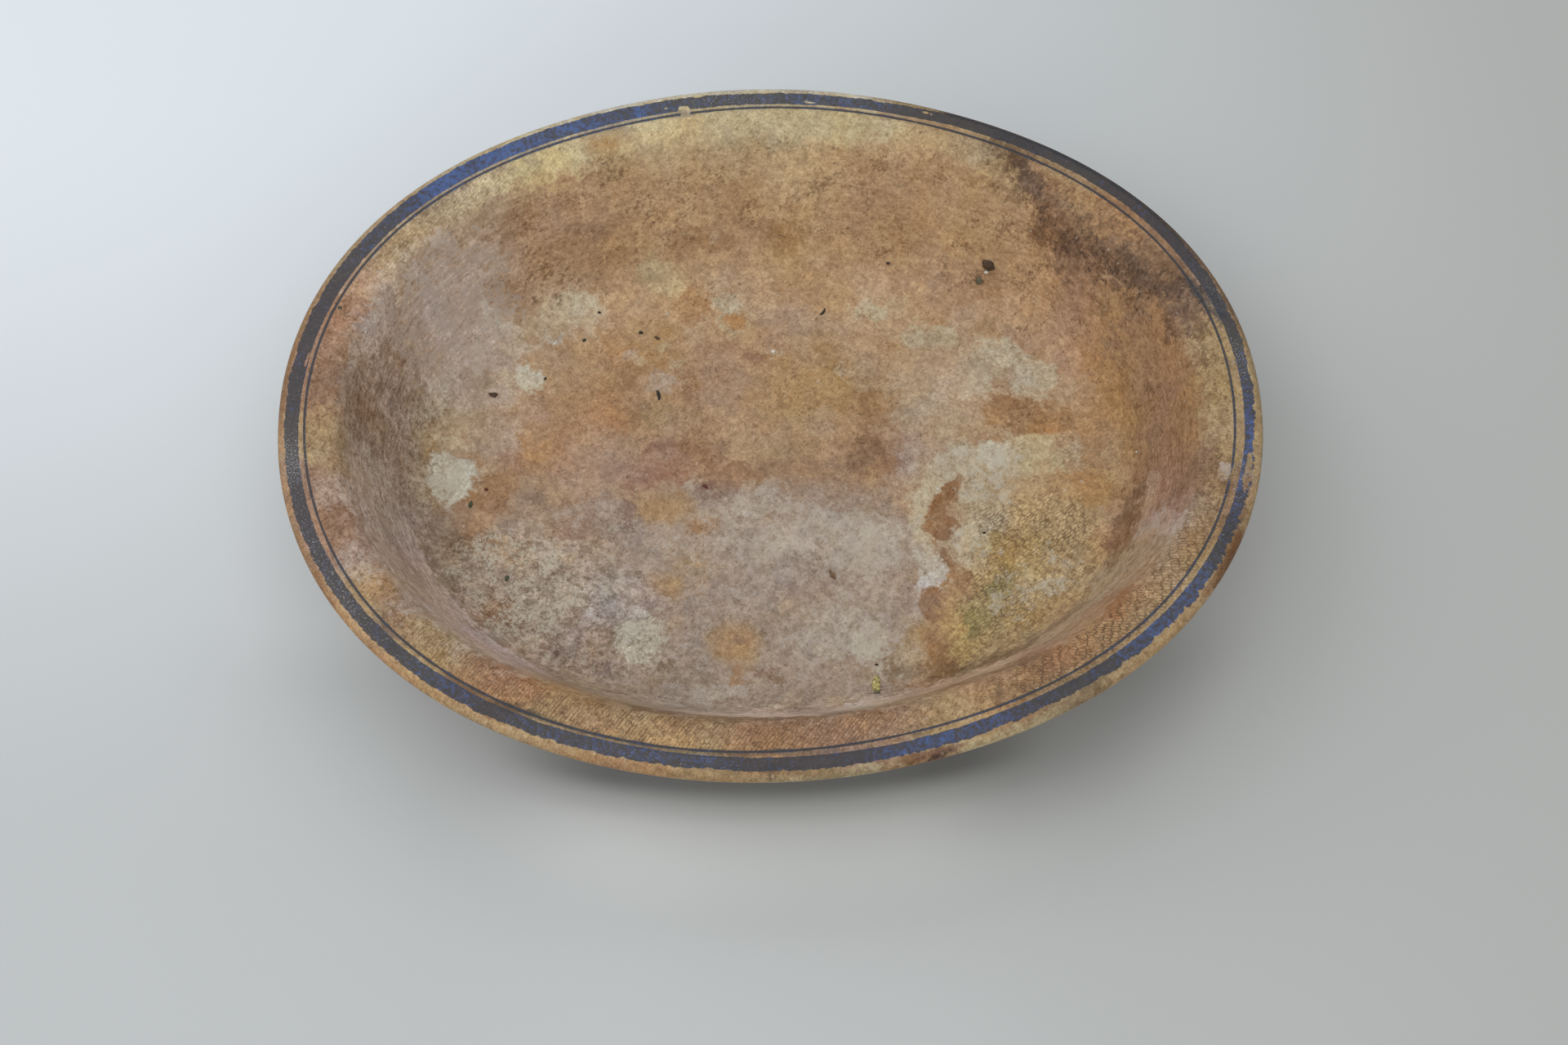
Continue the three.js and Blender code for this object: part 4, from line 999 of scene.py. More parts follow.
    for x, y, rx, ry, turn in ((-66, 67, 5, 4, 0), (-46, 69, 6, 7, 0), (-42, 47, 9, 4, 0), (-20, 50, 3, 4, 0), (0, 47, 5, 3.5, 0), (66, 44, 9, 5, -40), (73, 35, 3, 5, -20),
                               (46, 25, 4, 4, 0), (11, -7, 4, 3.5, 0), (66, -28, 6, 7, 0), (63, -10, 7, 4, 0), (36, -17, 3.5, 3.5, 0), (26, -27, 6, 3, 0), (42, -30, 5, 5, 0),
                               (22, -59, 8, 3.5, 0), (-12, -65, 6, 3, 0), (-57, -63, 6, 3, -25), (-47, -36, 3, 4, 0), (-47, -28, 5, 4, 0), (-60, -19, 6, 3, 0)):
        wash(spot(x, y, rx, ry, turn), faded)
    for x, y, rx, ry, turn in ((-94, 24, 3, 9, 8), (-71, -32, 7, 6, 0)):
        wash(spot(x, y, rx, ry, turn), bare)
    wash(trail([(92, -22), (94, 0), (92, 18), (88, 30)], 7), cooler)
    wash(trail([(-86, 12), (-87, -5), (-84, -20), (-76, -34), (-66, -45), (-58, -52)], 7), cooler)
    wash(trail([(26, -58), (40, -57), (52, -54), (62, -48), (72, -41)], 6), cooler)
    for x, y, rx, ry, turn in ((-62, -62, 8, 4, -30), (-82, -49, 6, 5, -40), (35, 8, 8, 9, 0), (40, -30, 5, 5, 0), (-36, -32, 6, 4, 0), (-27, -34, 4, 4, 0), (75, 36, 6, 7, -30), (44, 24, 6, 6, 0)):
        wash(spot(x, y, rx, ry, turn), cooler, 4)
    for x, y, rx, ry, turn in ((-28, 38, 6, 8, 0), (-45, 20, 9, 7, 0), (-37, 73, 5, 3, 10), (48, 69, 6, 3, -15), (66, 14, 9, 4, 0), (79, -5, 6, 4, 0), (20, 21, 8, 5, 0), (13, 36, 4, 3, 0),
                               (5, 58, 4, 3, 0), (60, -22, 7, 9, 0), (62, -37, 4, 3, 0)):
        wash(spot(x, y, rx, ry, turn), warmer, 4)
    for x, y, rx, ry, turn in ((-26, 0, 8, 4, 0), (-12, -2, 4, 5, 0)):
        wash(spot(x, y, rx, ry, turn), rosier)
    wash(trail([(-46, -63), (-34, -67), (-20, -70.5), (0, -73), (20, -70.5)], 5), redder)
    wash(trail([(56, -62), (64, -57), (76, -49)], 6), redder)
    wash(patch([(-42, 8), (-10, 8), (20, 6), (30, -2), (28, -12), (-10, -8), (-40, -14)]), (0.93, 0.92, 0.92), 4)
    wash(patch([(-44, 42), (-40, 54), (0, 56), (40, 54), (40, 44), (0, 42)]), (1.06, 1.06, 1.06), 4)
    # more painted shade along the same front edge, right of the middle and in the middle
    wash(trail([(30, -67), (45, -63), (57, -59)], 4), soil_and_shade)
    wash(trail([(-30, -69.5), (-15, -72), (0, -73), (16, -71.6)], 2.6), soil_and_shade, 1.6, 1.2)
    wash(trail([(46, -54.5), (58, -50.5), (70, -42)], 3.4), faded)
    wash(trail([(50, -17), (51, -33), (46, -38)], 5), faded)
    for x, y, rx, ry, turn in ((28, 52, 4, 4, 0), (-60, 28, 6, 8, 0), (-45, 37, 6, 4, 0), (0, -67, 8, 2.6, 0), (20, -64, 6, 3, 0), (-28, -60, 5, 3, 0)):
        wash(spot(x, y, rx, ry, turn), (1.09, 1.09, 1.09))
    wash(rim(277, 1.0, 14, 1.3, 0.0, 0.2), soil_and_shade, 0.8, 1.0)
    wash(rim(311, 1.2, 12, 1.5, 0.0, 0.2), grime, 0.8, 1.0)
    wash(rim(208, 0.9, 16, 1.2, 0.0, 0.2), bare, 0.8, 1.0)
    wash(rim(181, 10, 12, 3.4), (0.91, 0.90, 0.90))
    wash(trail([(-88, 43), (-77, 53), (-65, 61), (-52, 66.5)], 7), warmer)
    wash(trail([(-80, 51), (-70, 58), (-60, 63.5), (-48, 67.5)], 5), faded)
    wash(trail([(-42, 72.5), (-30, 75), (-8, 77)], 3.4), redder)
    for x, y, rx, ry, turn in ((-43, 33, 5, 4, 0), (-5, 40, 5, 4, 0), (12, 27, 6, 4, 0), (10, 17, 6, 3, 0), (50, 68, 5, 3, -20), (80, -5, 5, 4, 0), (85, 10, 4, 9, 0), (-35, -67, 6, 2.4, -15)):
        wash(spot(x, y, rx, ry, turn), warmer)
    for x, y, rx, ry, turn in ((32, -2, 4, 5, 0), (37, -33, 4, 4, 0), (74, 35, 5, 5, -30), (-92, 20, 3, 7, 0), (-62, -61, 7, 3, -28), (5, -71, 8, 3, 0)):
        wash(spot(x, y, rx, ry, turn), cooler)
    for x, y, rx, ry, turn in ((65, -60, 5, 3, 30), (80, -47, 4, 4, 40), (80, -22, 4, 4, 0), (103, -33, 3, 4, 0)):
        wash(spot(x, y, rx, ry, turn), redder)
    wash(trail([(101, 29), (98, 20), (97, 10)], 4), (0.93, 0.88, 0.92))
    wash(trail([(83, 38), (88, 22), (89, 5), (86, -8)], 8), (1.00, 1.05, 1.06))
    wash(trail([(93, -24), (85, -36), (73, -47), (58, -55)], 7), (1.03, 0.96, 1.00))
    wash(trail([(-84, -26), (-76, -38), (-66, -48), (-52, -57)], 7), (1.02, 0.99, 1.07))
    wash(trail([(-50, -58), (-25, -63), (0, -64.5), (25, -62)], 6), (1.06, 1.06, 1.09))
    wash(rim(238, 9.5, 34, 4), (1.03, 0.985, 0.94))
    wash(rim(49, 5.5, 5, 4), soil_and_shade, 1.4, 2.0, 0.3)
    wash(rim(313, 1.3, 6, 1.6, 0.0, 0.2), soil_and_shade, 0.8, 1.0)
    wash(rim(268, 0.9, 15, 1.5, 0.0, 0.2), grime, 0.8, 1.0)
    wash(rim(272, 0.6, 8, 1.0, 0.0, 0.2), grime, 0.8, 1.0)
    wash(rim(227, 5.7, 12, 0.8, 0.0, 0.2), soil_and_shade, 0.6, 1.0)
    wash(rim(342, 2.0, 5, 2.4, 0.0, 0.2), soil_and_shade, 1.0, 1.4)
    wash(rim(351, 4.5, 3, 3, 0.0, 0.2), grime, 1.0, 1.4)
    for x, y, rx, ry, turn in ((2, -70, 8, 1.8, 0), (22, -65, 8, 2, 12), (45, -58.5, 7, 1.8, 18)):
        wash(spot(x, y, rx, ry, turn), faded, 1.6, 1.6)
    wash(spot(60, -60, 5, 3, 25), grime)
    for x, y, rx, ry, turn in ((-60, -63, 8, 3, -25), (-83, -52, 4, 3, -40), (60, -59, 5, 4, 25)):
        wash(spot(x, y, rx, ry, turn), (1.0, 0.97, 1.10))
    wash(spot(-45, 4, 8, 10), (1.0, 0.99, 1.07), 4)
    wash(spot(-90, 29, 3, 9, -8), cooler)
    wash(trail([(-62, 52), (-52, 59), (-42, 63)], 5), cooler)
    for x, y, rx, ry, turn in ((-25, 3, 5, 5, 0), (-10, 58, 5, 3, 0), (-3, 36, 5, 3, 0), (75, -4, 4, 3, 0), (86, -7, 3, 3, 0)):
        wash(spot(x, y, rx, ry, turn), redder)
    wash(spot(66, -18, 14, 15), (1.0, 1.0, 1.03), 4)
    wash(trail([(86, 34), (91, 18), (92, 2), (89, -8)], 7), (0.97, 1.0, 1.09))
    wash(rim(323, 9.5, 17, 4), (1.03, 0.975, 0.95))
    wash(trail([(-10, -66), (15, -64.5), (36, -59.5)], 6), (1.05, 1.04, 1.09))
    wash(spot(-55, 5, 6, 5), redder)
    wash(spot(-42, 16, 7, 5), rosier)
    for x, y, rx, ry, turn in ((-60, 16, 4, 8, 0), (-56, -17, 8, 3.5, 0), (-50, -31, 6, 3, 0), (-66, -33, 4, 3, 0), (-60, -47, 8, 4, -30), (-86, -40, 3, 4, -30), (-79, -51, 4, 3, -40), (-3, -64, 7, 5, 0),
                               (24, -61, 7, 3, 10), (47, -57, 7, 2.6, 15), (51, -17, 3, 4, 0), (50, -31, 3, 4, 0), (56, -36, 3, 3, 0), (37, -31, 3, 2.4, 0), (80, 12, 3, 5, 0), (72, -14, 3, 3, 0),
                               (22, 41, 5, 3, 0), (-22, 55, 4, 5, 0), (-56, 57, 5, 3, 20), (-66, 63, 4, 3, 20), (-28, 65, 4, 2.4, 0), (66, 48, 3, 4, 0), (78, 31, 3, 4, 0), (40, 58, 6, 3, 0), (8, 71, 6, 3, 0), (-87, 44, 2.4, 5, -35)):
        wash(spot(x, y, rx, ry, turn), faded)
    for x, y, rx, ry, turn in ((10, -61, 4, 6, 0), (-28, -55, 5, 3, 0), (-18, -38, 3, 5, 0), (2, -38, 4, 4, 0), (1, -50, 4, 2.4, 0), (48, -51, 4, 2, 20), (79, -43, 5, 3, 40), (100, 25, 5, 3, -40), (103, -16, 3, 4, 0),
                               (86, -20, 3, 4, 0), (86, -5, 4, 3, 0), (48, -9, 3, 3, 0), (26, -12, 6, 3, 0), (25, 4, 4, 4, 0), (26, 12, 3, 4, 0), (13, 33, 4, 4, 0), (-55, 0, 5, 4, 0), (-50, -4, 4, 3, 0), (-76, -5, 5, 3, 0),
                               (-36, -23, 5, 3, 0), (61, 62, 4, 3, -40), (90, 40, 4, 3, -40), (-70, 25, 3, 4, 0), (-78, 55, 4, 3, 30), (-92, -2, 4, 4, 0), (-103, -16, 3, 3, 0)):
        wash(spot(x, y, rx, ry, turn), grime)
    for x, y, rx, ry, turn in ((77, 28, 4, 5, 0), (93, 6, 4, 7, 0), (32, -2, 4, 5, 0), (37, -36, 4, 6, 0), (-80, 35, 6, 5, 0), (-57, 14, 4, 6, 0), (-28, -29, 5, 4, 0), (12, 42, 5, 4, 0), (2, 12, 3, 4, 0), (35, 8, 4, 6, 0)):
        wash(spot(x, y, rx, ry, turn), cooler)
    for x, y, rx, ry, turn in ((70, 55, 4, 6, 20), (-40, 73, 4, 3, 0), (-35, 36, 4, 5, 0), (-55, 43, 8, 4, 0), (50, 48, 4, 3, 0), (-100, 24, 3, 5, 0), (-71, -15, 4, 4, 0), (28, -10, 5, 3, 0), (72, 10, 5, 4, 0), (82, -18, 4, 4, 0),
                               (102, -34, 3, 3, 0), (45, 66, 8, 3, -10), (20, -75, 10, 3, 10)):
        wash(spot(x, y, rx, ry, turn), redder)
    wash(trail([(-52, -64), (-38, -68), (-22, -70.5)], 4), redder)
    for x, y, rx, ry, turn in ((66, -60, 5, 4, 30), (79, -46, 5, 4, 40), (44, -65, 6, 3, 10)):
        wash(spot(x, y, rx, ry, turn), (1.07, 0.95, 0.96))
    # crust that has curdled: paler grains, browner pits between them
    curd = grain(p, 3.4, 61, 4, 0.85)[:, None]
    crusty = np.clip(1.0 * m.amount(patch([(-77, -12), (-60, -11), (-40, -15), (-22, -30), (-20, -50), (-44, -53), (-60, -47), (-72, -34), (-79, -22)]), 4, 3, 0.1)
                     + 0.35 * m.amount(patch([(-20, -12), (34, -12), (36, -46), (24, -58), (-20, -58)]), 4, 3, 0.1)
                     + 0.35 * m.amount(spot(58, -26, 17, 16), 4, 3, 0.1) + 0.6 * m.amount(trail([(-86, 34), (-90, 10), (-88, -10), (-80, -26)], 10), 4, 3, 0.1), 0, 1)[:, None]
    m.tint = m.tint * (1.0 + crusty * curd * np.where(curd < 0, np.array([[0.38, 0.43, 0.50]]), np.array([[0.34, 0.35, 0.36]])))
    for a, b, c, e in ((66, 9.5, 5, 4), (108, 9.5, 4, 4)):
        wash(rim(a, b, c, e), faded)

    # --- masks
    belt = smooth(d, 11.5, 15.0) * (1 - smooth(d, 25.0, 33.0)) * runs([(0, 0.35), (25, 0.5), (40, 0.55), (60, 0.4), (90, 0.4), (120, 0.4), (140, 0.25),
                                                                        (160, 0.3), (178, 0.35), (190, 0.2), (220, 0.12), (300, 0.15), (335, 0.2), (350, 0.35)], deg)
    m.mask["umber"] = np.maximum(belt * (0.70 + 0.75 * m.cloud2), 0.05 + 0.15 * np.clip(m.cloud, 0, 1))
    flange_on = smooth(d, 6.5, 8.0) * (1 - smooth(d, 12.5, 15.0))
    m.mask["umber"] = np.maximum(m.mask["umber"], flange_on * runs([(0, 0.3), (15, 0.5), (30, 0.55), (45, 0.5), (60, 0.18), (80, 0.1), (110, 0.12),
                                                                   (125, 0.10), (150, 0.2), (162, 0.35), (180, 0.35), (200, 0.3), (225, 0.4), (240, 0.3), (265, 0.4),
                                                                   (285, 0.35), (300, 0.2), (320, 0.3), (345, 0.4)], deg))
    add("umber", spot(10, 48, 50, 12), 0.20, 8, 4)
    add("umber", spot(-5, 22, 40, 18), 0.22, 8, 4)
    add("umber", spot(-60, -32, 16, 14), 0.45, 6, 4)
    add("umber", spot(62, -28, 18, 20), 0.35, 6, 4)
    for x, y, rx, ry, turn, k in ((-34, 70, 4, 2, 15, 0.75), (-10, 71.5, 7, 1.6, 0, 0.45), (-6, 66, 4, 2, 0, 0.6), (1, 67.5, 3, 2, 0, 0.62), (19, 71, 3.5, 2, 0, 0.65),
                                  (27, 69, 4, 1.6, -10, 0.65), (23, 64.5, 4, 3, 0, 0.5), (35, 67, 4, 2, -15, 0.5), (46, 49, 5, 3, 30, 0.55), (44, 55, 5, 5, 0, 0.4),
                                  (-55, 52, 6, 5, 0, 0.55), (-20, 62, 8, 2, 0, 0.5), (-3, 41, 6, 4, 0, 0.32), (-14, 26, 5, 6, 0, 0.36), (8, 24, 9, 5, 0, 0.36),
                                  (24, 6, 8, 4, 0, 0.45), (-25, 8, 8, 2.5, 0, 0.45), (-4, 3, 14, 2.5, 0, 0.45), (-64, -3, 6, 5, 0, 0.35), (-79, 4.5, 2.4, 1.6, 0, 0.6),
                                  (12, -23, 7, 4, 0, 0.45), (-4, -15, 5, 3, 0, 0.4), (-36, -14, 6, 6, 0, 0.4), (64, 16, 8, 4, 0, 0.4), (48, -6, 3, 4, 0, 0.4), (62, 38, 6, 5, -40, 0.4)):
        add("umber", spot(x, y, rx, ry, turn), k, 2.0, 2.0)
    add("umber", trail([(-60, 58), (-50, 63.5), (-40, 66.5), (-33, 70)], 5), 0.65, 2.0, 2.0)
    add("umber", trail([(-28, 66), (-12, 67), (2, 67)], 4), 0.45, 2.0, 2.0)
    add("umber", trail([(58, 72), (61, 67), (65, 60)], 7), 0.72, 3.0, 3.0, 0.4)
    add("umber", trail([(65, 58), (70, 52), (76, 47), (84, 40.5), (92, 34), (100, 28)], 8.5), 0.85, 3.4, 3.0, 0.35)
    add("umber", trail([(56, 63), (64, 55), (72, 46), (80, 36)], 10), 0.32, 4.0, 3.0)

    add("soot_and_shade", trail([(58.5, 72.5), (61.5, 67), (65, 60)], 4.6), 0.36, 2.0, 3.6, 0.6)
    add("soot_and_shade", trail([(65.5, 59), (70, 52.5), (75, 47.5)], 5.8), 0.41, 2.2, 3.4, 0.5)
    add("soot_and_shade", trail([(76, 46), (82, 41), (88, 36.5), (94, 31.5), (101, 26.5)], 6.4), 0.42, 2.4, 3.4, 0.5)
    add("soot_and_shade", trail([(64, 62), (72, 52), (80, 44), (90, 36), (101, 27)], 9.0), 0.26, 4.0, 3.0)
    add("soot_and_shade", rim(17, 7.0, 4, 5, slant=0.8), 0.45, 2.0, 2.0)
    add("soot_and_shade", trail([(36, -54.5), (50, -52), (59, -48.5), (66, -43.5), (72, -38)], 1.4, 0.3), 0.35, 1.4, 1.2)
    add("soot_and_shade", trail([(86, -12), (83, -20), (79, -26)], 2.4), 0.3, 1.8, 1.5)
    add("soot_and_shade", spot(54.5, 51, 4, 3), 0.3, 2, 1.5)
    # painted shade: a thin dark line at the front where the flange drops to the wall, carried by the soot mask
    add("soot_and_shade", rim(270, 13.4, 24, 0.9), 0.25, 0.8, 0.8)
    add("soot_and_shade", rim(293, 0.8, 3.5, 0.9), 0.5, 0.5, 0.6)
    add("soot_and_shade", rim(340, 0.8, 4, 1.2), 0.3, 0.6, 0.6)

    add("bloom", patch([(-92, 22), (-88, 38), (-76, 52), (-63, 55), (-60, 44), (-64, 32), (-72, 28), (-82, 22)]), 0.75, 3, 3)
    add("bloom", rim(160, 14.2, 14, 1.8), 0.7, 1.6, 1.6)
    add("bloom", rim(190, 12.0, 4, 4.0), 0.55, 2, 2)
    add("bloom", rim(202, 11.0, 4, 4.0), 0.5, 2, 2)
    add("bloom", rim(211, 11.0, 1.5, 5.0, slant=0.8), 0.6, 1.6, 1.6)
    add("bloom", rim(221, 13.0, 2.0, 2.5), 0.55, 1.4, 1.4)
    add("bloom", spot(-90, -8, 6, 14), 0.55, 3, 3)
    add("bloom", spot(-80, -38, 8, 16, 35), 0.45, 4, 3)
    add("bloom", spot(90, -26, 5, 8, 20), 0.6, 2.5, 2.5)
    add("bloom", spot(80, -36, 5, 12, -35), 0.4, 3, 3)
    add("bloom", patch([(-56, -6), (-40, -2), (-16, -3), (4, -3), (32, -6), (36, -28), (34, -48), (24, -60), (-20, -62), (-52, -52), (-76, -28), (-74, -14)]), 0.5, 5, 4)
    add("bloom", spot(4, -15, 14, 8), 0.75, 4, 3)
    add("bloom", spot(22, -18, 12, 9), 0.7, 4, 3)
    add("bloom", spot(20, -42, 12, 7), 0.65, 4, 3)
    add("bloom", rim(351, 8.0, 1.4, 2.0), 0.75, 0.8, 1.0)

    add("lime", patch([(-78, -20), (-66, -14), (-52, -15), (-46, -24), (-46, -36), (-50, -46), (-62, -46), (-72, -34)]), 0.62, 3, 3)
    add("lime", spot(-31, -41.5, 8, 6.5), 0.72, 3, 2.5)
    add("lime", spot(20, -43, 7, 6), 0.5, 3, 2.5)
    add("lime", spot(27, -48, 4, 4), 0.5, 2, 2)
    add("lime", spot(-38, -29, 3, 4), 0.5, 2, 2)
    add("lime", spot(4, -16.5, 6, 3.5), 0.5, 2.5, 2)
    add("lime", spot(21.5, -18, 6, 4), 0.45, 2.5, 2)
    add("lime", spot(36, -24, 2.6, 6), 0.6, 1.6, 1.5)
    add("lime", patch([(33, -14), (36, -6), (42, 4), (46, 8), (56, 9), (62, 4), (58, -8), (50, -8), (46, -3), (41, -4), (37, -10)], 0.6), 0.55, 2, 2)
    add("lime", spot(49, -20, 4, 6), 0.55, 2, 2)
    add("lime", patch([(54, -24), (66, -20), (74, -20), (72, -32), (62, -40), (52, -44), (50, -36)]), 0.5, 3, 2.5)
    add("lime", spot(62, 27, 8, 6, -20), 0.35, 3, 2.5)
    add("lime", spot(-76.5, 1.6, 5.5, 7.5), 0.5, 1.6, 1.4)
    add("lime", spot(-78, 24, 4, 8), 0.3, 2, 2)
    add("lime", spot(-58, 28, 2.6, 4), 0.45, 1.2, 1.2)
    add("lime", trail([(-66, 42), (-63.5, 37), (-62, 31)], 1.6, 0.3), 0.35, 0.8, 0.8)
    cut("lime", patch([(45.5, -0.5), (42, -3), (39, -8), (36.5, -14), (37, -18), (40, -19), (43.5, -17), (44, -11), (46, -5)], 0.4), 0.9, 0.8, 0.8)
    cut("bloom", patch([(45.5, -0.5), (42, -3), (39, -8), (36.5, -14), (37, -18), (40, -19), (43.5, -17), (44, -11), (46, -5)], 0.4), 0.9, 0.8, 0.8)
    for x, y, r in ((-9, -43, 6.5), (-24.5, -8, 6.5), (-23.5, -28, 4)):
        cut("bloom", spot(x, y, r), 0.8, 1.0, 0.8)

    on_flange = smooth(d, 5.0, 6.6) * (1 - smooth(d + 0.5 * m.rag, 12.6, 14.8))
    on_lip = 1 - smooth(d, 2.0, 3.2)
    m.mask["craze"] = on_flange * runs([(0, 0.1), (60, 0.12), (110, 0.2), (134, 0.45), (146, 0.5), (156, 0.3), (180, 0.2), (200, 0.25), (212, 0.4), (220, 0.75), (230, 0.95),
                                        (262, 1.0), (282, 0.95), (290, 0.7), (299, 0.4), (305, 0.3), (309, 0.05), (340, 0.0)], deg)
    m.mask["craze"] = np.maximum(m.mask["craze"], on_lip * runs([(0, 0.2), (40, 0.1), (90, 0.15), (170, 0.25), (190, 0.4), (262, 0.35), (280, 0.2), (340, 0.25)], deg))
    m.mask["grid"] = on_flange * runs([(0, 0.25), (8, 0.08), (60, 0.0), (270, 0.0), (297, 0.1), (304, 0.35), (310, 0.85), (325, 0.95), (338, 0.8), (348, 0.5)], deg)
    add("weave", patch([(50, -8), (74, -4), (80, -16), (74, -30), (58, -42), (46, -46), (46, -30), (52, -18)]), 0.75, 4, 3)
    add("weave", spot(78, 6, 8, 14), 0.4, 4, 3)
    add("weave", spot(-10, 30, 50, 22), 0.22, 8, 4)
    m.mask["streak"] = smooth(d + m.rag, 13.0, 16.0) * (1 - smooth(d + 2 * m.rag, 26.0, 34.0)) * runs(
        [(0, 0.6), (30, 0.35), (60, 0.25), (100, 0.25), (135, 0.5), (150, 0.75), (180, 0.9), (215, 0.7), (240, 0.9), (300, 1.0), (330, 1.0), (345, 0.8)], deg)
    m.mask["dab"] = 0.25 + on_flange * runs([(0, 0.35), (50, 0.35), (62, -0.05), (128, -0.05), (140, 0.3), (180, 0.4), (300, 0.4)], deg)
    add("dab", patch([(-80, -16), (-66, -12), (-50, -14), (-40, -24), (-26, -34), (-24, -50), (-50, -54), (-66, -48), (-78, -34)]), 0.95, 5, 4, 0.2)
    add("dab", patch([(50, -10), (76, -4), (82, -16), (76, -32), (58, -46), (40, -52), (42, -32), (50, -20)]), 0.8, 4, 3, 0.2)
    add("dab", spot(-88, 10, 10, 30), 0.8, 5, 3, 0.2)
    add("dab", spot(64, 15, 9, 5), 0.6, 2, 2, 0.2)
    add("dab", spot(62, 28, 9, 6), 0.45, 2, 2, 0.2)
    add("dab", patch([(60, 72), (66, 58), (80, 44), (104, 26), (100, 16), (84, 32), (70, 48), (54, 64)]), 0.8, 5, 4, 0.2)
    m.drift_hue(0.9 + 0.5 * m.mask["dab"])
    return m


# ------------------------------------------------------------------------------------------------
# The pieces
# ------------------------------------------------------------------------------------------------
def points_round(d):
    """How many points a ring of the upper face has."""
    for top, n in ((9.0, 840), (20.0, 720), (44.1, 600), (56.0, 480), (67.0, 360), (77.0, 240), (86.0, 160), (92.0, 96), (96.5, 48), (101.0, 24)):
        if d < top:
            return n


up_prof = pick(upper_curve, [(2.0, 0.45), (8.0, 0.6), (13.0, 0.7), (44.0, 0.76), (101.0, 0.76)])[:-1]
up_slope = slopes(up_prof, 1)
up_rings, up_d, up_t, up_len, up_out = [], [], [], [], []
for (d, z, ln), (nd, nz) in zip(up_prof, up_slope):
    t = round_steps(points_round(d))
    up_rings.append(lay(t, np.full_like(t, d), np.full_like(t, z)))
    up_out.append(off(t, nd, nz))
    up_d.append(np.full_like(t, d))
    up_t.append(t)
    up_len.append(np.full_like(t, ln))
mid_z = upper_curve[-1, 1]
up_p = np.r_[np.concatenate(up_rings), [[0.0, 0.0, mid_z]]]
up_d = np.r_[np.concatenate(up_d), 100.0]
up_t = np.r_[np.concatenate(up_t), 0.0]
up_len = np.r_[np.concatenate(up_len), up_prof[-1, 2]]
up_phi = edge(up_t)[4]
upper_marks = stain_upper(up_p, up_d, up_phi)

# crusts stand a little proud and the glaze is not quite even
lift = 0.16 * np.clip(upper_marks.mask["lime"] * (0.5 + 0.8 * upper_marks.fine), 0, 1) + 0.06 * np.clip(upper_marks.mask["bloom"], 0, 1) * np.clip(0.6 + 0.5 * upper_marks.fine, 0, 1)
lift += 0.05 * upper_marks.cloud + 0.02 * upper_marks.fine
lift *= smooth(up_d, 8.5, 12.0)
count = np.r_[0, np.cumsum([len(r) for r in up_rings])]
moved = [r + o * lift[a:b][:, None] for r, o, a, b in zip(up_rings, up_out, count[:-1], count[1:])]

# the clay side follows the same curve with fewer points, closer together where the wall bends
N_CLAY = 240
in_pick = [0]
for k in range(1, len(up_prof)):
    if k == len(up_prof) - 1 or k - in_pick[-1] >= (3 if 1.0 < up_prof[k, 0] < 36.0 else 10):
        in_pick.append(k)
t_clay = round_steps(N_CLAY)
in_rings = []
for k in in_pick:
    d, z, _ = up_prof[k]
    in_rings.append(lay(t_clay, np.full(N_CLAY, d), np.full(N_CLAY, z)) - off(t_clay, *up_slope[k]) * GLAZE)
in_rings[0] = lay(t_clay, np.full(N_CLAY, GLAZE), np.full(N_CLAY, LIP_MID))
v, f = skin(moved[::-1] + in_rings, start=(0.0, 0.0, mid_z), end=(0.0, 0.0, mid_z - GLAZE))
glaze_upper = solid("glaze_upper_skin", v, f, sharp=60)
tris = sum(len(q) - 2 for q in f)
print("upper skin triangles", tris)
# the skin starts at the innermost ring, so the marks go on in that order, with the start pole after the clay rings
order = np.concatenate([np.arange(a, b) for a, b in list(zip(count[:-1], count[1:]))[::-1]])
n_in = N_CLAY * len(in_rings)
gather = np.r_[order, np.full(n_in, len(up_p) - 1), len(up_p) - 1, len(up_p) - 1]


def reorder(marks, idx):
    marks.tones = [a[idx] for a in two_tones(marks.p, marks.tint)]
    marks.mask = {k: a[idx] for k, a in marks.mask.items()}


reorder(upper_marks, gather)
upper_marks.finish(glaze_upper)
strip_map(glaze_upper, arc_at(up_t)[gather], up_len[gather])
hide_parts("glaze_upper")

# ------------------------------------------------------------------------------------------------
# Dirt dried onto the glaze: a husk, a crumb and some specks, each a small closed lump that rests on the surface; one
# pale lump on the husk is a painted highlight
# ------------------------------------------------------------------------------------------------
face_p = np.concatenate(moved)


def seat(x, y):
    """Where a speck rests on the upper face, and the direction out of the surface there."""
    q = face_p[np.argsort(np.hypot(face_p[:, 0] - x, face_p[:, 1] - y))[:14]]
    c = q.mean(axis=0)
    n = np.linalg.svd(q - c)[2][2]
    n = n * np.sign(n[2])
    return np.array([x, y, c[2] - (n[0] * (x - c[0]) + n[1] * (y - c[1])) / n[2]]), n


def lump(x, y, length, width, height, turn, seed, bend=0.0):
    """One bumpy lump, longest along a direction in plan, sunk a little into what carries it."""
    at, n = seat(x, y)
    e = np.array([math.cos(math.radians(turn)), math.sin(math.radians(turn)), 0.0])
    e -= n * (e @ n)
    e /= np.linalg.norm(e)
    f = np.cross(n, e)

    def put(q):
        r = 1.0 + 0.34 * grain(q + 9.7 * seed, 0.8, 90 + seed % 7, 2, 0.6)
        a, b, c = q[:, 0] * r * length / 2, q[:, 1] * r * width / 2, q[:, 2] * r * height / 2
        b = b + bend * (a / length) ** 2
        return at + a[:, None] * e + b[:, None] * f + (c + 0.3 * height)[:, None] * n

    th = np.linspace(0.0, 2 * math.pi, 14, endpoint=False)
    rings = [put(np.c_[np.full(14, math.cos(u)), math.sin(u) * np.cos(th), math.sin(u) * np.sin(th)]) for u in np.linspace(0, math.pi, 12)[1:-1]]
    return skin(rings, start=put(np.array([[1.0, 0.0, 0.0]]))[0], end=put(np.array([[-1.0, 0.0, 0.0]]))[0])


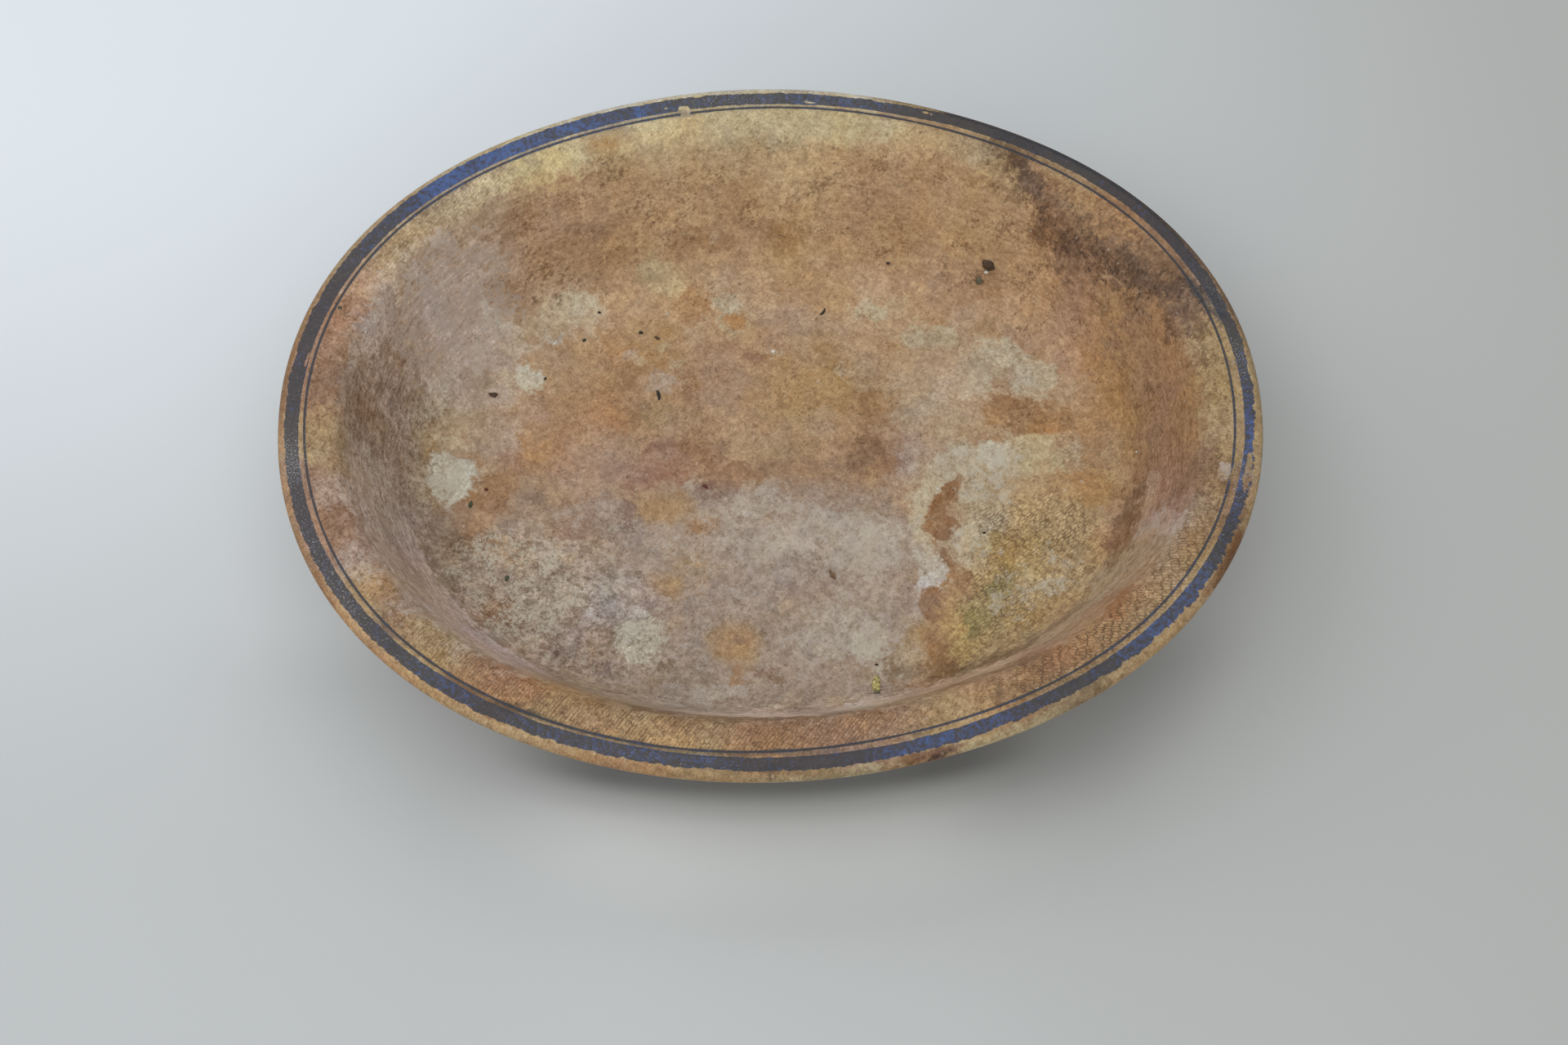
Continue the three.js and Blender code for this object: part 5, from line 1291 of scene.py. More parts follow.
HUSK = (0.072, 0.044, 0.026)
BLACK = (0.032, 0.029, 0.022)
GREEN = (0.062, 0.075, 0.042)
BONE = (0.600, 0.560, 0.480)
CRUMB = (0.330, 0.265, 0.105)
MEAL = (0.560, 0.500, 0.205)
DULL = (0.130, 0.115, 0.070)
RED = (0.115, 0.034, 0.026)
# the pale BONE lump at 55.0, 50.9 on the husk is a painted highlight, a glint on the husk; the other lumps are dried
# dirt
SPECKS = [(55.4, 51.6, 3.1, 2.9, 1.2, 20, 0.2, HUSK), (55.0, 50.9, 1.2, 0.7, 1.6, 20, 0.0, BONE), (53.2, 49.9, 2.0, 1.7, 0.6, 62, 0.2, DULL),
          (14.6, 44.5, 2.1, 0.6, 0.5, 50, 1.2, BLACK), (-30.6, 39.8, 1.1, 0.8, 0.5, 0, 0.0, BLACK), (-44.5, 38.0, 1.1, 0.8, 0.5, 20, 0.0, GREEN),
          (-26.6, 38.3, 1.4, 0.6, 0.4, -30, 0.4, HUSK), (-24.0, 45.0, 0.7, 0.6, 0.4, 0, 0.0, BONE), (-26.2, 22.7, 2.6, 0.8, 0.5, 100, 0.6, BLACK),
          (-66.6, 23.3, 2.2, 1.2, 0.5, -10, 0.0, HUSK), (-71.4, -6.0, 1.7, 0.9, 0.5, 80, 0.0, GREEN), (-62.3, -25.5, 1.4, 0.9, 0.4, 60, 0.0, GREEN),
          (51.5, -15.8, 0.8, 0.6, 0.4, 0, 0.0, BLACK), (14.8, -26.0, 2.7, 1.0, 0.6, -60, 0.5, UMBER), (-67.8, -2.0, 0.8, 0.7, 0.4, 0, 0.0, RED),
          (24.3, -54.4, 4.2, 1.9, 0.8, 82, 0.3, CRUMB), (24.4, -57.0, 1.4, 0.7, 0.4, 0, 0.0, DULL), (24.6, -49.2, 0.8, 0.5, 0.35, 0, 0.0, BLACK),
          (24.2, -52.8, 1.0, 0.8, 1.0, 40, 0.0, MEAL), (24.7, -53.6, 1.1, 0.8, 1.1, -30, 0.0, MEAL), (23.9, -54.2, 1.0, 0.8, 1.1, 60, 0.0, MEAL),
          (24.7, -54.9, 1.1, 0.9, 1.2, 10, 0.0, MEAL), (24.0, -55.6, 1.1, 0.8, 1.0, -50, 0.0, MEAL), (24.7, -56.2, 0.9, 0.7, 0.9, 20, 0.0, MEAL),
          (2.0, 34.0, 0.9, 0.7, 0.4, 0, 0.0, BONE), (-51.6, 37.2, 1.5, 0.6, 0.3, 40, 0.3, BONE), (-15.0, -2.2, 1.4, 0.8, 0.35, -30, 0.0, RED),
          (-40.8, 45.5, 0.8, 0.6, 0.35, 0, 0.0, BLACK), (-54.0, 27.6, 0.9, 0.5, 0.35, 50, 0.0, BLACK), (88.5, 1.5, 0.7, 0.6, 0.3, 0, 0.0, BONE),
          (-99.5, 30.2, 1.0, 0.7, 0.35, 10, 0.0, GREEN), (31.0, 56.5, 0.8, 0.7, 0.35, 0, 0.0, BLACK), (41.0, -4.0, 0.8, 0.6, 0.3, 0, 0.0, BONE)]
speck_v, speck_f, speck_c, seen = [], [], [], 0
for k, (x, y, length, width, height, turn, bend, colour) in enumerate(SPECKS):
    v, f = lump(x, y, length, width, height, turn, k + 1, bend)
    v = np.asarray(v)
    speck_v.append(v)
    speck_f += [tuple(i + seen for i in q) for q in f]
    speck_c.append(np.array(colour) * (1.0 + 0.35 * grain(v, 0.6, 97, 2, 0.6))[:, None])
    seen += len(v)
specks = solid("dried_specks_and_painted_glint", np.concatenate(speck_v), speck_f, sharp=60)
colour_attribute(specks, "tint", np.clip(np.concatenate(speck_c), 0.0, 1.0))
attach(specks, "root")

# outside of the dish
N_OUT = 480
out_prof = pick(outer_curve, [(2.0, 0.45), (9.0, 0.8), (40.0, 0.9)])
out_slope = slopes(out_prof, -1)
t_out = round_steps(N_OUT)
out_rings = [lay(t_out, np.full(N_OUT, d), np.full(N_OUT, z)) for d, z, _ in out_prof]
oi_pick = list(range(0, len(out_prof) - 1, 4)) + [len(out_prof) - 1]
oi_rings = [lay(t_clay, np.full(N_CLAY, out_prof[k, 0]), np.full(N_CLAY, out_prof[k, 1])) - off(t_clay, *out_slope[k]) * GLAZE for k in oi_pick]
oi_rings[0] = lay(t_clay, np.full(N_CLAY, GLAZE), np.full(N_CLAY, LIP_MID))
oi_rings[-1] = lay(t_clay, np.full(N_CLAY, FOOT_OUT), np.full(N_CLAY, BASE_UNDER))


def stain_outer(p, d, phi, length):
    m = Marks(p, d, phi)
    deg = m.phi
    lip = runs(LIP_RUN, (deg + 1.2 * m.wx) % 360.0)
    base = runs([(0, STRAW), (40, TAN), (70, CREAM), (130, CREAM), (165, TAN), (190, STRAW), (230, STRAW), (280, CREAM), (320, STRAW)], (deg + 2.0 * m.wx) % 360.0)
    w = smooth(40.0 - p[:, 2] + 0.5 * m.fine, 0.0, 3.4)[:, None]
    m.tint = lip * (1 - w) + base * w
    # brown runs down from the rim, and ground dirt gathers towards the foot
    run = smooth(grain(np.c_[deg * 1.75, 0.12 * p[:, 2], 0 * deg], 9.0, 31, 3, 0.6) + 0.25 * m.fine, 0.05, 0.75)
    low = 1.0 - smooth(p[:, 2] + 2.5 * m.rag, 6.0, 20.0)
    m.tint += (np.array(AMBER) - m.tint) * (0.5 * run * smooth(40.0 - p[:, 2], 2.0, 9.0))[:, None]
    m.tint += (np.array(DRAB) - m.tint) * (0.65 * low)[:, None]
    m.tint += (np.array(LILAC) - m.tint) * (0.5 * smooth(m.cloud + 0.5 * m.drift, 0.35, 1.0))[:, None]
    m.mask["umber"] = 0.22 + 0.35 * low + 0.25 * run
    m.mask["bloom"] = 0.55 * smooth(m.cloud + 0.5 * m.drift, 0.3, 0.9)
    m.mask["lime"] = 0.4 * smooth(m.cloud2 - 0.3 * m.drift, 0.55, 1.1) * low
    m.mask["soot_and_shade"] = 0.45 * (1.0 - smooth(p[:, 2], 3.2, 6.5)) + 0.35 * smooth(grain(p, 14.0, 33, 3) - 0.5, 0.0, 0.5)
    m.mask["craze"] = 0.35 + 0.4 * smooth(m.drift, -0.4, 0.5)
    m.drift_hue()
    return m


out_p = np.concatenate(out_rings)
out_d = np.repeat(out_prof[:, 0], N_OUT)
out_len = np.repeat(out_prof[:, 2], N_OUT)
out_t = np.tile(t_out, len(out_prof))
outer_marks = stain_outer(out_p, out_d, edge(out_t)[4], out_len)
v, f = skin(out_rings + oi_rings[::-1], closed=True)
glaze_outer = solid("glaze_outer_skin", v, f, sharp=60)
n_in = N_CLAY * len(oi_rings)
outer_marks.finish(glaze_outer, n_in)
strip_map(glaze_outer, np.r_[arc_at(out_t), np.zeros(n_in)], np.r_[-out_len, np.zeros(n_in)])
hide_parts("glaze_outer")

# underside inside the foot
N_BASE = 240
base_d = np.r_[FOOT_IN, np.linspace(39.0, 98.0, 60)]
t_b = round_steps(N_BASE)
b_rings = [lay(t_b, np.full(N_BASE, d), np.full(N_BASE, BASE_UNDER - GLAZE)) for d in base_d]
b_top = [r + (0, 0, GLAZE) for r in b_rings[::6]]
v, f = skin(b_rings[::-1] + b_top, start=(0, 0, BASE_UNDER - GLAZE), end=(0, 0, BASE_UNDER))
glaze_base = solid("glaze_base_skin", v, f, sharp=50)
base_marks = Marks(np.asarray(v), np.full(len(v), 60.0), np.arctan2(v[:, 1], v[:, 0]))
base_marks.tint = np.tile(np.array(CREAM), (len(v), 1))
base_marks.tint += (np.array(STRAW) - base_marks.tint) * smooth(base_marks.cloud + base_marks.drift, -0.4, 0.8)[:, None] * 0.7
base_marks.tint += (np.array(DRAB) - base_marks.tint) * smooth(base_marks.cloud2 + 0.6 * base_marks.drift, 0.2, 1.0)[:, None] * 0.6
base_marks.mask["umber"][:] = 0.28
base_marks.mask["craze"][:] = 0.0
base_marks.mask["weave"][:] = 0.5
base_marks.mask["bloom"] = 0.4 * smooth(base_marks.cloud, 0.2, 0.9)
base_marks.drift_hue()
base_marks.finish(glaze_base)
strip_map(glaze_base, np.zeros(len(v)), np.zeros(len(v)))
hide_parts("glaze_base")

# foot ring
foot_curve = spline([(FOOT_OUT, 3.2), (FOOT_OUT, 2.8), (32.25, 1.6), (32.6, 0.55), (33.4, 0.06), (34.2, 0.0), (36.0, 0.0),
                     (36.7, 0.06), (37.4, 0.55), (37.75, 1.6), (FOOT_IN, 2.8), (FOOT_IN, 3.2)], 0.35)
foot_curve[:, 1] = np.maximum(foot_curve[:, 1], 0.0)
t_f = round_steps(360)
v, f = skin([lay(t_f, np.full(360, d), np.full(360, z)) for d, z in foot_curve], closed=True)
foot = solid("foot_ring_clay", v, f, sharp=55)
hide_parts("foot_ring")

# clay body under the glaze
under = [lay(t_clay, np.full(N_CLAY, d), np.full(N_CLAY, BASE_UNDER)) for d in (38.0, 44.0, 60.0, 80.0, 95.0)]
v, f = skin(in_rings[::-1] + oi_rings[1:] + under, start=(0, 0, mid_z - GLAZE), end=(0, 0, BASE_UNDER))
body = solid("dish_body_clay", v, f, sharp=60)
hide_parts("dish_body")

# ------------------------------------------------------------------------------------------------
# Painted band and line
# ------------------------------------------------------------------------------------------------
BAND_OUTER = [(0, 2.1), (10, 1.7), (20, 1.5), (32, 1.1), (45, 0.9), (58, 1.2), (70, 1.9), (90, 2.1), (105, 1.95), (120, 1.85), (150, 1.7), (165, 1.7), (180, 1.8), (200, 1.7),
              (220, 1.75), (240, 1.95), (262, 2.0), (275, 1.7), (285, 1.75), (295, 1.95), (303, 2.35), (315, 2.5), (325, 2.1), (333, 2.1), (345, 2.1), (350, 2.5), (353, 2.4)]
BAND_INNER = [(0, 4.45), (20, 4.5), (30, 4.2), (45, 4.05), (58, 4.15), (68, 4.65), (90, 5.2), (105, 5.35), (118, 5.45), (135, 5.45), (150, 5.3), (165, 5.2), (200, 4.85),
              (235, 5.05), (247, 5.2), (262, 5.1), (275, 4.95), (285, 5.0), (295, 5.1), (304, 5.35), (315, 5.35), (325, 5.2), (345, 4.9), (356, 4.55)]
BLUE = [(0, 0.75), (4, 0.5), (9, 0.15), (20, 0.08), (60, 0.06), (66, 0.2), (74, 0.6), (84, 0.65), (90, 0.4), (104, 0.5), (110, 0.82), (124, 0.85), (130, 1.0),
        (142, 1.0), (147, 0.5), (155, 0.3), (162, 0.1), (200, 0.2), (214, 0.25), (221, 0.5), (227, 0.5), (230, 0.12), (235, 0.5), (255, 0.55), (264, 0.35),
        (274, 0.12), (282, 0.2), (288, 0.7), (302, 0.75), (306, 0.45), (311, 0.2), (318, 0.4), (326, 0.75), (336, 0.8), (340, 0.3), (343, 0.12), (346, 0.6), (353, 0.9)]
WORN = [(0, 0.35), (8, 0.3), (20, 0.1), (55, 0.05), (64, 0.2), (72, 0.25), (82, 0.3), (95, 0.22), (110, 0.15), (140, 0.12), (170, 0.12), (200, 0.2), (230, 0.25),
        (250, 0.3), (275, 0.35), (300, 0.25), (315, 0.35), (328, 0.4), (340, 0.3), (348, 0.55), (352, 0.6), (356, 0.4)]
DUST = [(0, 0.2), (7, 0.55), (11, 0.25), (17, 0.4), (24, 0.15), (60, 0.1), (72, 0.3), (90, 0.42), (102, 0.4), (110, 0.15), (143, 0.15), (150, 0.3), (160, 0.3), (178, 0.32), (185.5, 0.75),
        (190, 0.45), (205, 0.5), (214, 0.35), (224, 0.25), (240, 0.3), (290, 0.15), (320, 0.2), (345, 0.3), (351, 0.6), (356, 0.25)]
RAGGED = [(0, 0.45), (12, 0.3), (60, 0.2), (140, 0.2), (200, 0.25), (260, 0.25), (300, 0.3), (322, 0.45), (332, 0.8), (344, 0.8), (354, 0.7)]


def paint_ring(name, node, d_out, d_in, n, across, lift, depth, is_line):
    """A thin painted ring on the upper face between two distances in from the edge, each an array round the oval."""
    t = round_steps(n)
    rows_d = [d_out * (1 - u) + d_in * u for u in np.linspace(0.0, 1.0, across)]
    g = np.gradient(upper_curve, axis=0)
    g /= np.hypot(g[:, 0], g[:, 1])[:, None]
    _, _, nx, ny, phi = edge(t)
    top, low = [], []
    for d in rows_d:
        nd = -np.interp(d, upper_curve[:, 0], g[:, 1])
        nz = np.interp(d, upper_curve[:, 0], g[:, 0])
        out = np.stack([-nx * nd, -ny * nd, nz], axis=-1)
        p = lay(t, d, upper_z(d))
        top.append(p + out * lift)
        low.append(p - out * depth)
    v, f = skin(top + low[::-1], closed=True)
    ob = solid(name, v, f, sharp=45)
    P = np.concatenate(top)
    D = np.concatenate(rows_d)
    PHI = np.tile(phi, across)
    ARC = np.tile(arc_at(t), across)
    m = stain_upper(P, D, PHI)
    deg = m.phi
    # streaks run across the band, as the brush and later wear left them
    streak = grain(np.c_[ARC, 0.35 * D, 0 * D], 1.1, 41, 3, 0.65)
    broad = grain(np.c_[ARC, 0.8 * D, 0 * D], 5.0, 42, 3, 0.6)
    rag = runs(RAGGED, deg) * (0.9 * streak + 0.4 * broad)
    if is_line:
        mid = np.tile(0.5 * (d_out + d_in), across)
        half = 0.31 + 0.05 * broad
        cover = 1.0 - smooth(np.abs(D - mid) + 0.05 * m.fine, half - 0.12, half + 0.12)
        cover = cover * (1.0 - 0.5 * runs(WORN, deg) * smooth(broad, 0.1, 0.9))
        cover = cover * (1 - 0.45 * m.amount(m.rim(350.5, 6.6, 1.2, 2.0), 0.6, 0.5)) * (1 - 0.7 * m.amount(m.rim(102.5, 5.6, 0.8, 2.0), 0.4, 0.4))
    else:
        outer_edge = runs(BAND_OUTER, deg) + 0.12 * broad + rag
        inner_edge = runs(BAND_INNER, deg) + 0.10 * broad + 0.10 * streak
        cover = smooth(D, outer_edge - 0.22, outer_edge + 0.22) * (1.0 - smooth(D, inner_edge - 0.14, inner_edge + 0.14))
        cover = cover * (1.0 - runs(WORN, deg) * smooth(0.6 * broad + 0.5 * streak, 0.1, 0.8))
        for a, b, c, e in ((64, 2.6, 1.2, 0.25), (82, 4.2, 1.8, 0.22), (102.5, 4.8, 0.7, 0.8), (105, 4.1, 0.4, 0.4), (351, 3.0, 2.5, 0.7), (170.5, 4.9, 1.2, 0.35)):
            cover = cover * (1 - 0.85 * m.amount(m.rim(a, b, c, e, 0.0, 0.15), 0.3, 0.3))
    blue = runs(BLUE, deg) * (0.55 if is_line else 1.0)
    blue = np.clip(blue + 0.22 * broad + 0.15 * streak, 0.0, 1.0)
    dust = runs(DUST, deg) * (0.55 if is_line else 1.0)
    extra = len(v) - len(P)
    pad = lambda a: np.r_[a, np.repeat(a[-1:], extra, axis=0)]
    m.finish(ob, extra)
    colour_attribute(ob, "paint", pad(np.clip(np.c_[cover, blue, dust], 0, 1)))
    strip_map(ob, pad(ARC), pad(D))
    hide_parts(node)
    return ob


N_RING = 1400
phi_ring = edge(round_steps(N_RING))[4]
line_mid = 6.3 + turns(LINE_WANDER, phi_ring)
rim_band = paint_ring("rim_band_cobalt", "rim_band", np.full(N_RING, 0.55), np.minimum(5.75, line_mid - 0.53), N_RING, 24, 0.03, 0.08, False)
rim_line = paint_ring("rim_line_cobalt", "rim_line", line_mid - 0.5, line_mid + 0.5, N_RING, 9, 0.03, 0.08, True)


# ------------------------------------------------------------------------------------------------
# Materials
# ------------------------------------------------------------------------------------------------
class Graph:
    """Short names for building a node material."""

    def __init__(self, name):
        self.mat = bpy.data.materials.new(name)
        self.mat.use_nodes = True
        self.tree = self.mat.node_tree
        self.shader = self.tree.nodes["Principled BSDF"]

    def node(self, kind, **props):
        n = self.tree.nodes.new(kind)
        for k, v in props.items():
            setattr(n, k, v)
        return n

    def feed(self, socket, value):
        if isinstance(value, bpy.types.NodeSocket):
            self.tree.links.new(value, socket)
        elif isinstance(value, (tuple, list)) and len(value) == 3 and socket.type == "RGBA":
            socket.default_value = (*value, 1.0)
        else:
            socket.default_value = value

    def math(self, op, a, b=None, clamp=False):
        n = self.node("ShaderNodeMath", operation=op, use_clamp=clamp)
        self.feed(n.inputs[0], a)
        if b is not None:
            self.feed(n.inputs[1], b)
        return n.outputs[0]

    def step(self, x, lo, hi, to_lo=0.0, to_hi=1.0):
        n = self.node("ShaderNodeMapRange", interpolation_type="SMOOTHSTEP")
        for s, val in zip(n.inputs, (x, lo, hi, to_lo, to_hi)):
            self.feed(s, val)
        return n.outputs[0]

    def mix(self, fac, a, b):
        n = self.node("ShaderNodeMix", data_type="RGBA")
        self.feed(n.inputs[0], fac)
        self.feed(n.inputs[6], a)
        self.feed(n.inputs[7], b)
        return n.outputs[2]

    def scale(self, colour, k):
        n = self.node("ShaderNodeVectorMath", operation="SCALE")
        self.feed(n.inputs[0], colour)
        self.feed(n.inputs["Scale"], k)
        return n.outputs[0]

    def place(self):
        return self.node("ShaderNodeTexCoord").outputs["Object"]

    def uv(self, name):
        return self.node("ShaderNodeUVMap", uv_map=name).outputs[0]

    def mapping(self, vec, scale=(1, 1, 1), turn=(0, 0, 0), move=(0, 0, 0)):
        n = self.node("ShaderNodeMapping")
        self.feed(n.inputs["Vector"], vec)
        n.inputs["Location"].default_value = move
        n.inputs["Rotation"].default_value = turn
        n.inputs["Scale"].default_value = scale
        return n.outputs[0]

    def slanted(self, vec, degrees, along, across, up=1.0):
        """Coordinates in units of the given millimetres, along and across a direction in plan."""
        n = self.node("ShaderNodeMapping", vector_type="TEXTURE")
        self.feed(n.inputs["Vector"], vec)
        n.inputs["Rotation"].default_value = (0.0, 0.0, math.radians(degrees))
        n.inputs["Scale"].default_value = (along * MM, across * MM, up * MM)
        return n.outputs[0]

    def sum(self, a, b):
        n = self.node("ShaderNodeVectorMath", operation="ADD")
        self.feed(n.inputs[0], a)
        self.feed(n.inputs[1], b)
        return n.outputs[0]

    def times(self, colour, rgb):
        n = self.node("ShaderNodeVectorMath", operation="MULTIPLY")
        self.feed(n.inputs[0], colour)
        n.inputs[1].default_value = rgb
        return n.outputs[0]

    def nudge(self, vec, amount, scale):
        """Coordinates pushed about by noise, so that lines bend."""
        sep = self.node("ShaderNodeCombineXYZ")
        self.feed(sep.inputs[0], self.math("MULTIPLY", self.math("SUBTRACT", self.noise(vec, scale, 2.0, 0.5), 0.5), amount))
        self.feed(sep.inputs[1], self.math("MULTIPLY", self.math("SUBTRACT", self.noise(vec, scale * 1.31, 2.0, 0.5), 0.5), amount))
        n = self.node("ShaderNodeVectorMath", operation="ADD")
        self.feed(n.inputs[0], vec)
        self.feed(n.inputs[1], sep.outputs[0])
        return n.outputs[0]

    def noise(self, vec, scale, detail=3.0, rough=0.5, twist=0.0):
        n = self.node("ShaderNodeTexNoise")
        self.feed(n.inputs["Vector"], vec)
        n.inputs["Scale"].default_value = scale
        n.inputs["Detail"].default_value = detail
        n.inputs["Roughness"].default_value = rough
        n.inputs["Distortion"].default_value = twist
        return n.outputs[0]

    def cells(self, vec, scale, feature="DISTANCE_TO_EDGE", random=1.0, flat=True):
        n = self.node("ShaderNodeTexVoronoi", feature=feature, voronoi_dimensions="2D" if flat else "3D")
        self.feed(n.inputs["Vector"], vec)
        n.inputs["Scale"].default_value = scale
        n.inputs["Randomness"].default_value = random
        return n.outputs["Distance"]

    def attribute(self, name):
        return self.node("ShaderNodeAttribute", attribute_name=name).outputs["Color"]

    def split(self, colour):
        n = self.node("ShaderNodeSeparateColor")
        self.feed(n.inputs[0], colour)
        return n.outputs[0], n.outputs[1], n.outputs[2]

    def done(self, colour, rough, height, strength=0.3, reach=0.0003, specular=0.22):
        b = self.node("ShaderNodeBump")
        b.inputs["Strength"].default_value = strength
        b.inputs["Distance"].default_value = reach
        self.feed(b.inputs["Height"], height)
        self.feed(self.shader.inputs["Base Color"], colour)
        self.feed(self.shader.inputs["Roughness"], rough)
        self.feed(self.shader.inputs["Normal"], b.outputs[0])
        self.shader.inputs["Specular IOR Level"].default_value = specular
        return self.mat


DEEP_BROWN = (0.105, 0.058, 0.030)


def glaze_layers(g, outside=False):
    """Stained, crazed glaze: colour, roughness and height sockets."""
    at = g.place()
    strip = g.uv("strip")
    spun = g.mapping(at, turn=(0.62, 0.38, 0.85))
    side = g.split(g.attribute("side"))[0]
    torn = g.noise(spun, 800.0, 4.0, 0.78)
    side = g.step(g.math("ADD", side, g.math("MULTIPLY", g.math("SUBTRACT", torn, 0.5), 5.0)), -0.40, 0.40, -1.1, 1.1)
    tint = g.sum(g.attribute("tint"), g.scale(g.attribute("swing"), side))
    lime, bloom, umber = g.split(g.attribute("crust"))
    soot_and_shade, craze, weave = g.split(g.attribute("marks"))
    streak, grid, dab = g.split(g.attribute("wear"))

    # uneven at every size, from a few millimetres down to specks, with long streaks round the wall
    mott = g.noise(spun, 640.0, 3.0, 0.85)
    clump = g.noise(spun, 140.0, 3.0, 0.6)
    grit = g.noise(spun, 1500.0, 2.0, 0.8)
    runs_round = g.noise(g.mapping(strip, (0.10, 0.85, 1.0)), 1.0, 3.0, 0.85)
    level = g.math("MULTIPLY", g.math("SUBTRACT", mott, 0.5), g.math("ADD", 1.1, g.math("MULTIPLY", dab, 1.9)))
    level = g.math("ADD", level, g.math("MULTIPLY", g.math("SUBTRACT", grit, 0.5), g.math("ADD", 0.85, g.math("MULTIPLY", dab, 1.0))))
    level = g.math("ADD", level, g.math("MULTIPLY", g.math("SUBTRACT", runs_round, 0.5), g.math("MULTIPLY", streak, 2.2)))
    colour = g.mix(g.math("ADD", level, 0.5, clamp=True), g.times(tint, (0.60, 0.52, 0.45)), g.times(tint, (1.42, 1.50, 1.56)))

    # craze lines filled with brown
    if outside:
        cell = g.cells(g.nudge(g.mapping(strip, (0.62, 0.40, 1.0), (0.0, 0.0, math.radians(24))), 1.2, 0.5), 1.0, random=0.9)
        line = g.math("MULTIPLY", g.step(cell, 0.015, 0.09, 1.0, 0.0), craze, clamp=True)
        lines = g.math("MULTIPLY", line, g.step(mott, 0.40, 0.56, 0.25, 1.0))
    else:
        bent = g.nudge(g.slanted(at, 54.0, 2.7, 0.80), 0.8, 0.50)
        hatch = g.node("ShaderNodeSeparateXYZ")
        g.feed(hatch.inputs[0], bent)
        slant = g.step(g.math("PINGPONG", hatch.outputs[1], 0.5), 0.03, 0.17, 0.90, 0.0)
        slant = g.math("MULTIPLY", slant, g.step(g.noise(bent, 1.1, 2.0, 0.5), 0.34, 0.56, 0.25, 1.0))
        link = g.step(g.cells(bent, 1.0, random=0.85), 0.01, 0.085, 0.80, 0.0)
        line = g.math("MULTIPLY", g.math("MAXIMUM", slant, link), craze, clamp=True)
        brick = g.cells(g.nudge(g.slanted(at, -4.0, 1.9, 0.72), 1.3, 0.35), 1.0, random=0.55)
        rows = g.math("MULTIPLY", g.step(brick, 0.02, 0.22, 1.0, 0.0), grid, clamp=True)
        comb = g.cells(g.nudge(g.slanted(at, 37.0, 2.2, 0.78), 0.9, 0.6), 1.0, random=0.85)
        floor_line = g.math("MULTIPLY", g.step(comb, 0.02, 0.24, 1.0, 0.0), weave, clamp=True)
        lines = g.math("MAXIMUM", g.math("MAXIMUM", line, rows), floor_line)
        lines = g.math("MULTIPLY", lines, g.step(g.noise(at, 420.0, 2.0, 0.6), 0.36, 0.60, 0.40, 1.0))
    colour = g.mix(g.math("MULTIPLY", lines, 0.95), colour, DEEP_BROWN)

    # short brown dabs where stain has come up through the glaze, and a few hairlines
    fleck_n = g.noise(g.slanted(at, 57.0, 1.35, 0.8, 1.0), 1.0, 4.0, 0.72)
    fleck = g.math("ADD", g.math("MULTIPLY", umber, 0.24), g.math("MULTIPLY", g.math("SUBTRACT", clump, 0.5), 0.55))
    fleck = g.step(g.math("ADD", fleck_n, fleck), 0.635, 0.775)
    colour = g.mix(g.math("MULTIPLY", fleck, 0.64), colour, g.mix(0.45, g.times(tint, (0.42, 0.34, 0.28)), DEEP_BROWN))
    dots = g.node("ShaderNodeTexVoronoi", feature="F1", voronoi_dimensions="3D")
    g.feed(dots.inputs["Vector"], g.nudge(g.slanted(at, 57.0, 1.5, 1.1, 1.2), 0.5, 1.6))
    dots.inputs["Scale"].default_value = 1.0
    pick_r, pick_g, pick_b = g.split(dots.outputs["Color"])
    size = g.math("ADD", g.math("MULTIPLY", pick_g, 0.20), 0.10)
    dot = g.math("MULTIPLY", g.step(g.math("DIVIDE", dots.outputs["Distance"], size), 0.55, 1.25, 1.0, 0.0), g.math("ADD", 0.25, g.math("MULTIPLY", pick_b, 0.5)))
    pepper = g.math("MULTIPLY", dot, g.math("GREATER_THAN", pick_r, g.math("SUBTRACT", 0.91, g.math("MULTIPLY", umber, 0.35))))
    salt = g.math("MULTIPLY", dot, g.math("LESS_THAN", pick_r, 0.07))
    colour = g.mix(pepper, colour, g.mix(0.5, g.times(tint, (0.42, 0.34, 0.28)), DEEP_BROWN))
    colour = g.mix(g.math("MULTIPLY", salt, 0.7), colour, (0.56, 0.50, 0.40))
    hair_n = g.noise(spun, 230.0, 2.0, 0.5, 0.7)
    hair = g.step(g.math("ABSOLUTE", g.math("SUBTRACT", hair_n, 0.5)), 0.003, 0.013, 1.0, 0.0)
    hair = g.math("MULTIPLY", hair, g.step(g.noise(at, 160.0, 3.0, 0.6), 0.53, 0.62))
    colour = g.mix(g.math("MULTIPLY", hair, 0.42), colour, DEEP_BROWN)

    soot_n = g.noise(g.slanted(at, 57.0, 1.9, 1.0, 1.4), 1.0, 4.0, 0.75)
    black = g.step(g.math("ADD", soot_n, g.math("MULTIPLY", soot_and_shade, 0.46)), 0.66, 0.82)
    colour = g.mix(g.math("MULTIPLY", black, 0.86), colour, (0.058, 0.037, 0.027))

    # pale powder and lime crust
    bloom_n = g.noise(spun, 480.0, 3.0, 0.9)
    powder = g.step(g.math("ADD", bloom_n, g.math("MULTIPLY", bloom, 0.42)), 0.67, 0.88)
    colour = g.mix(g.math("MULTIPLY", powder, 0.70), colour, (0.462, 0.388, 0.330))

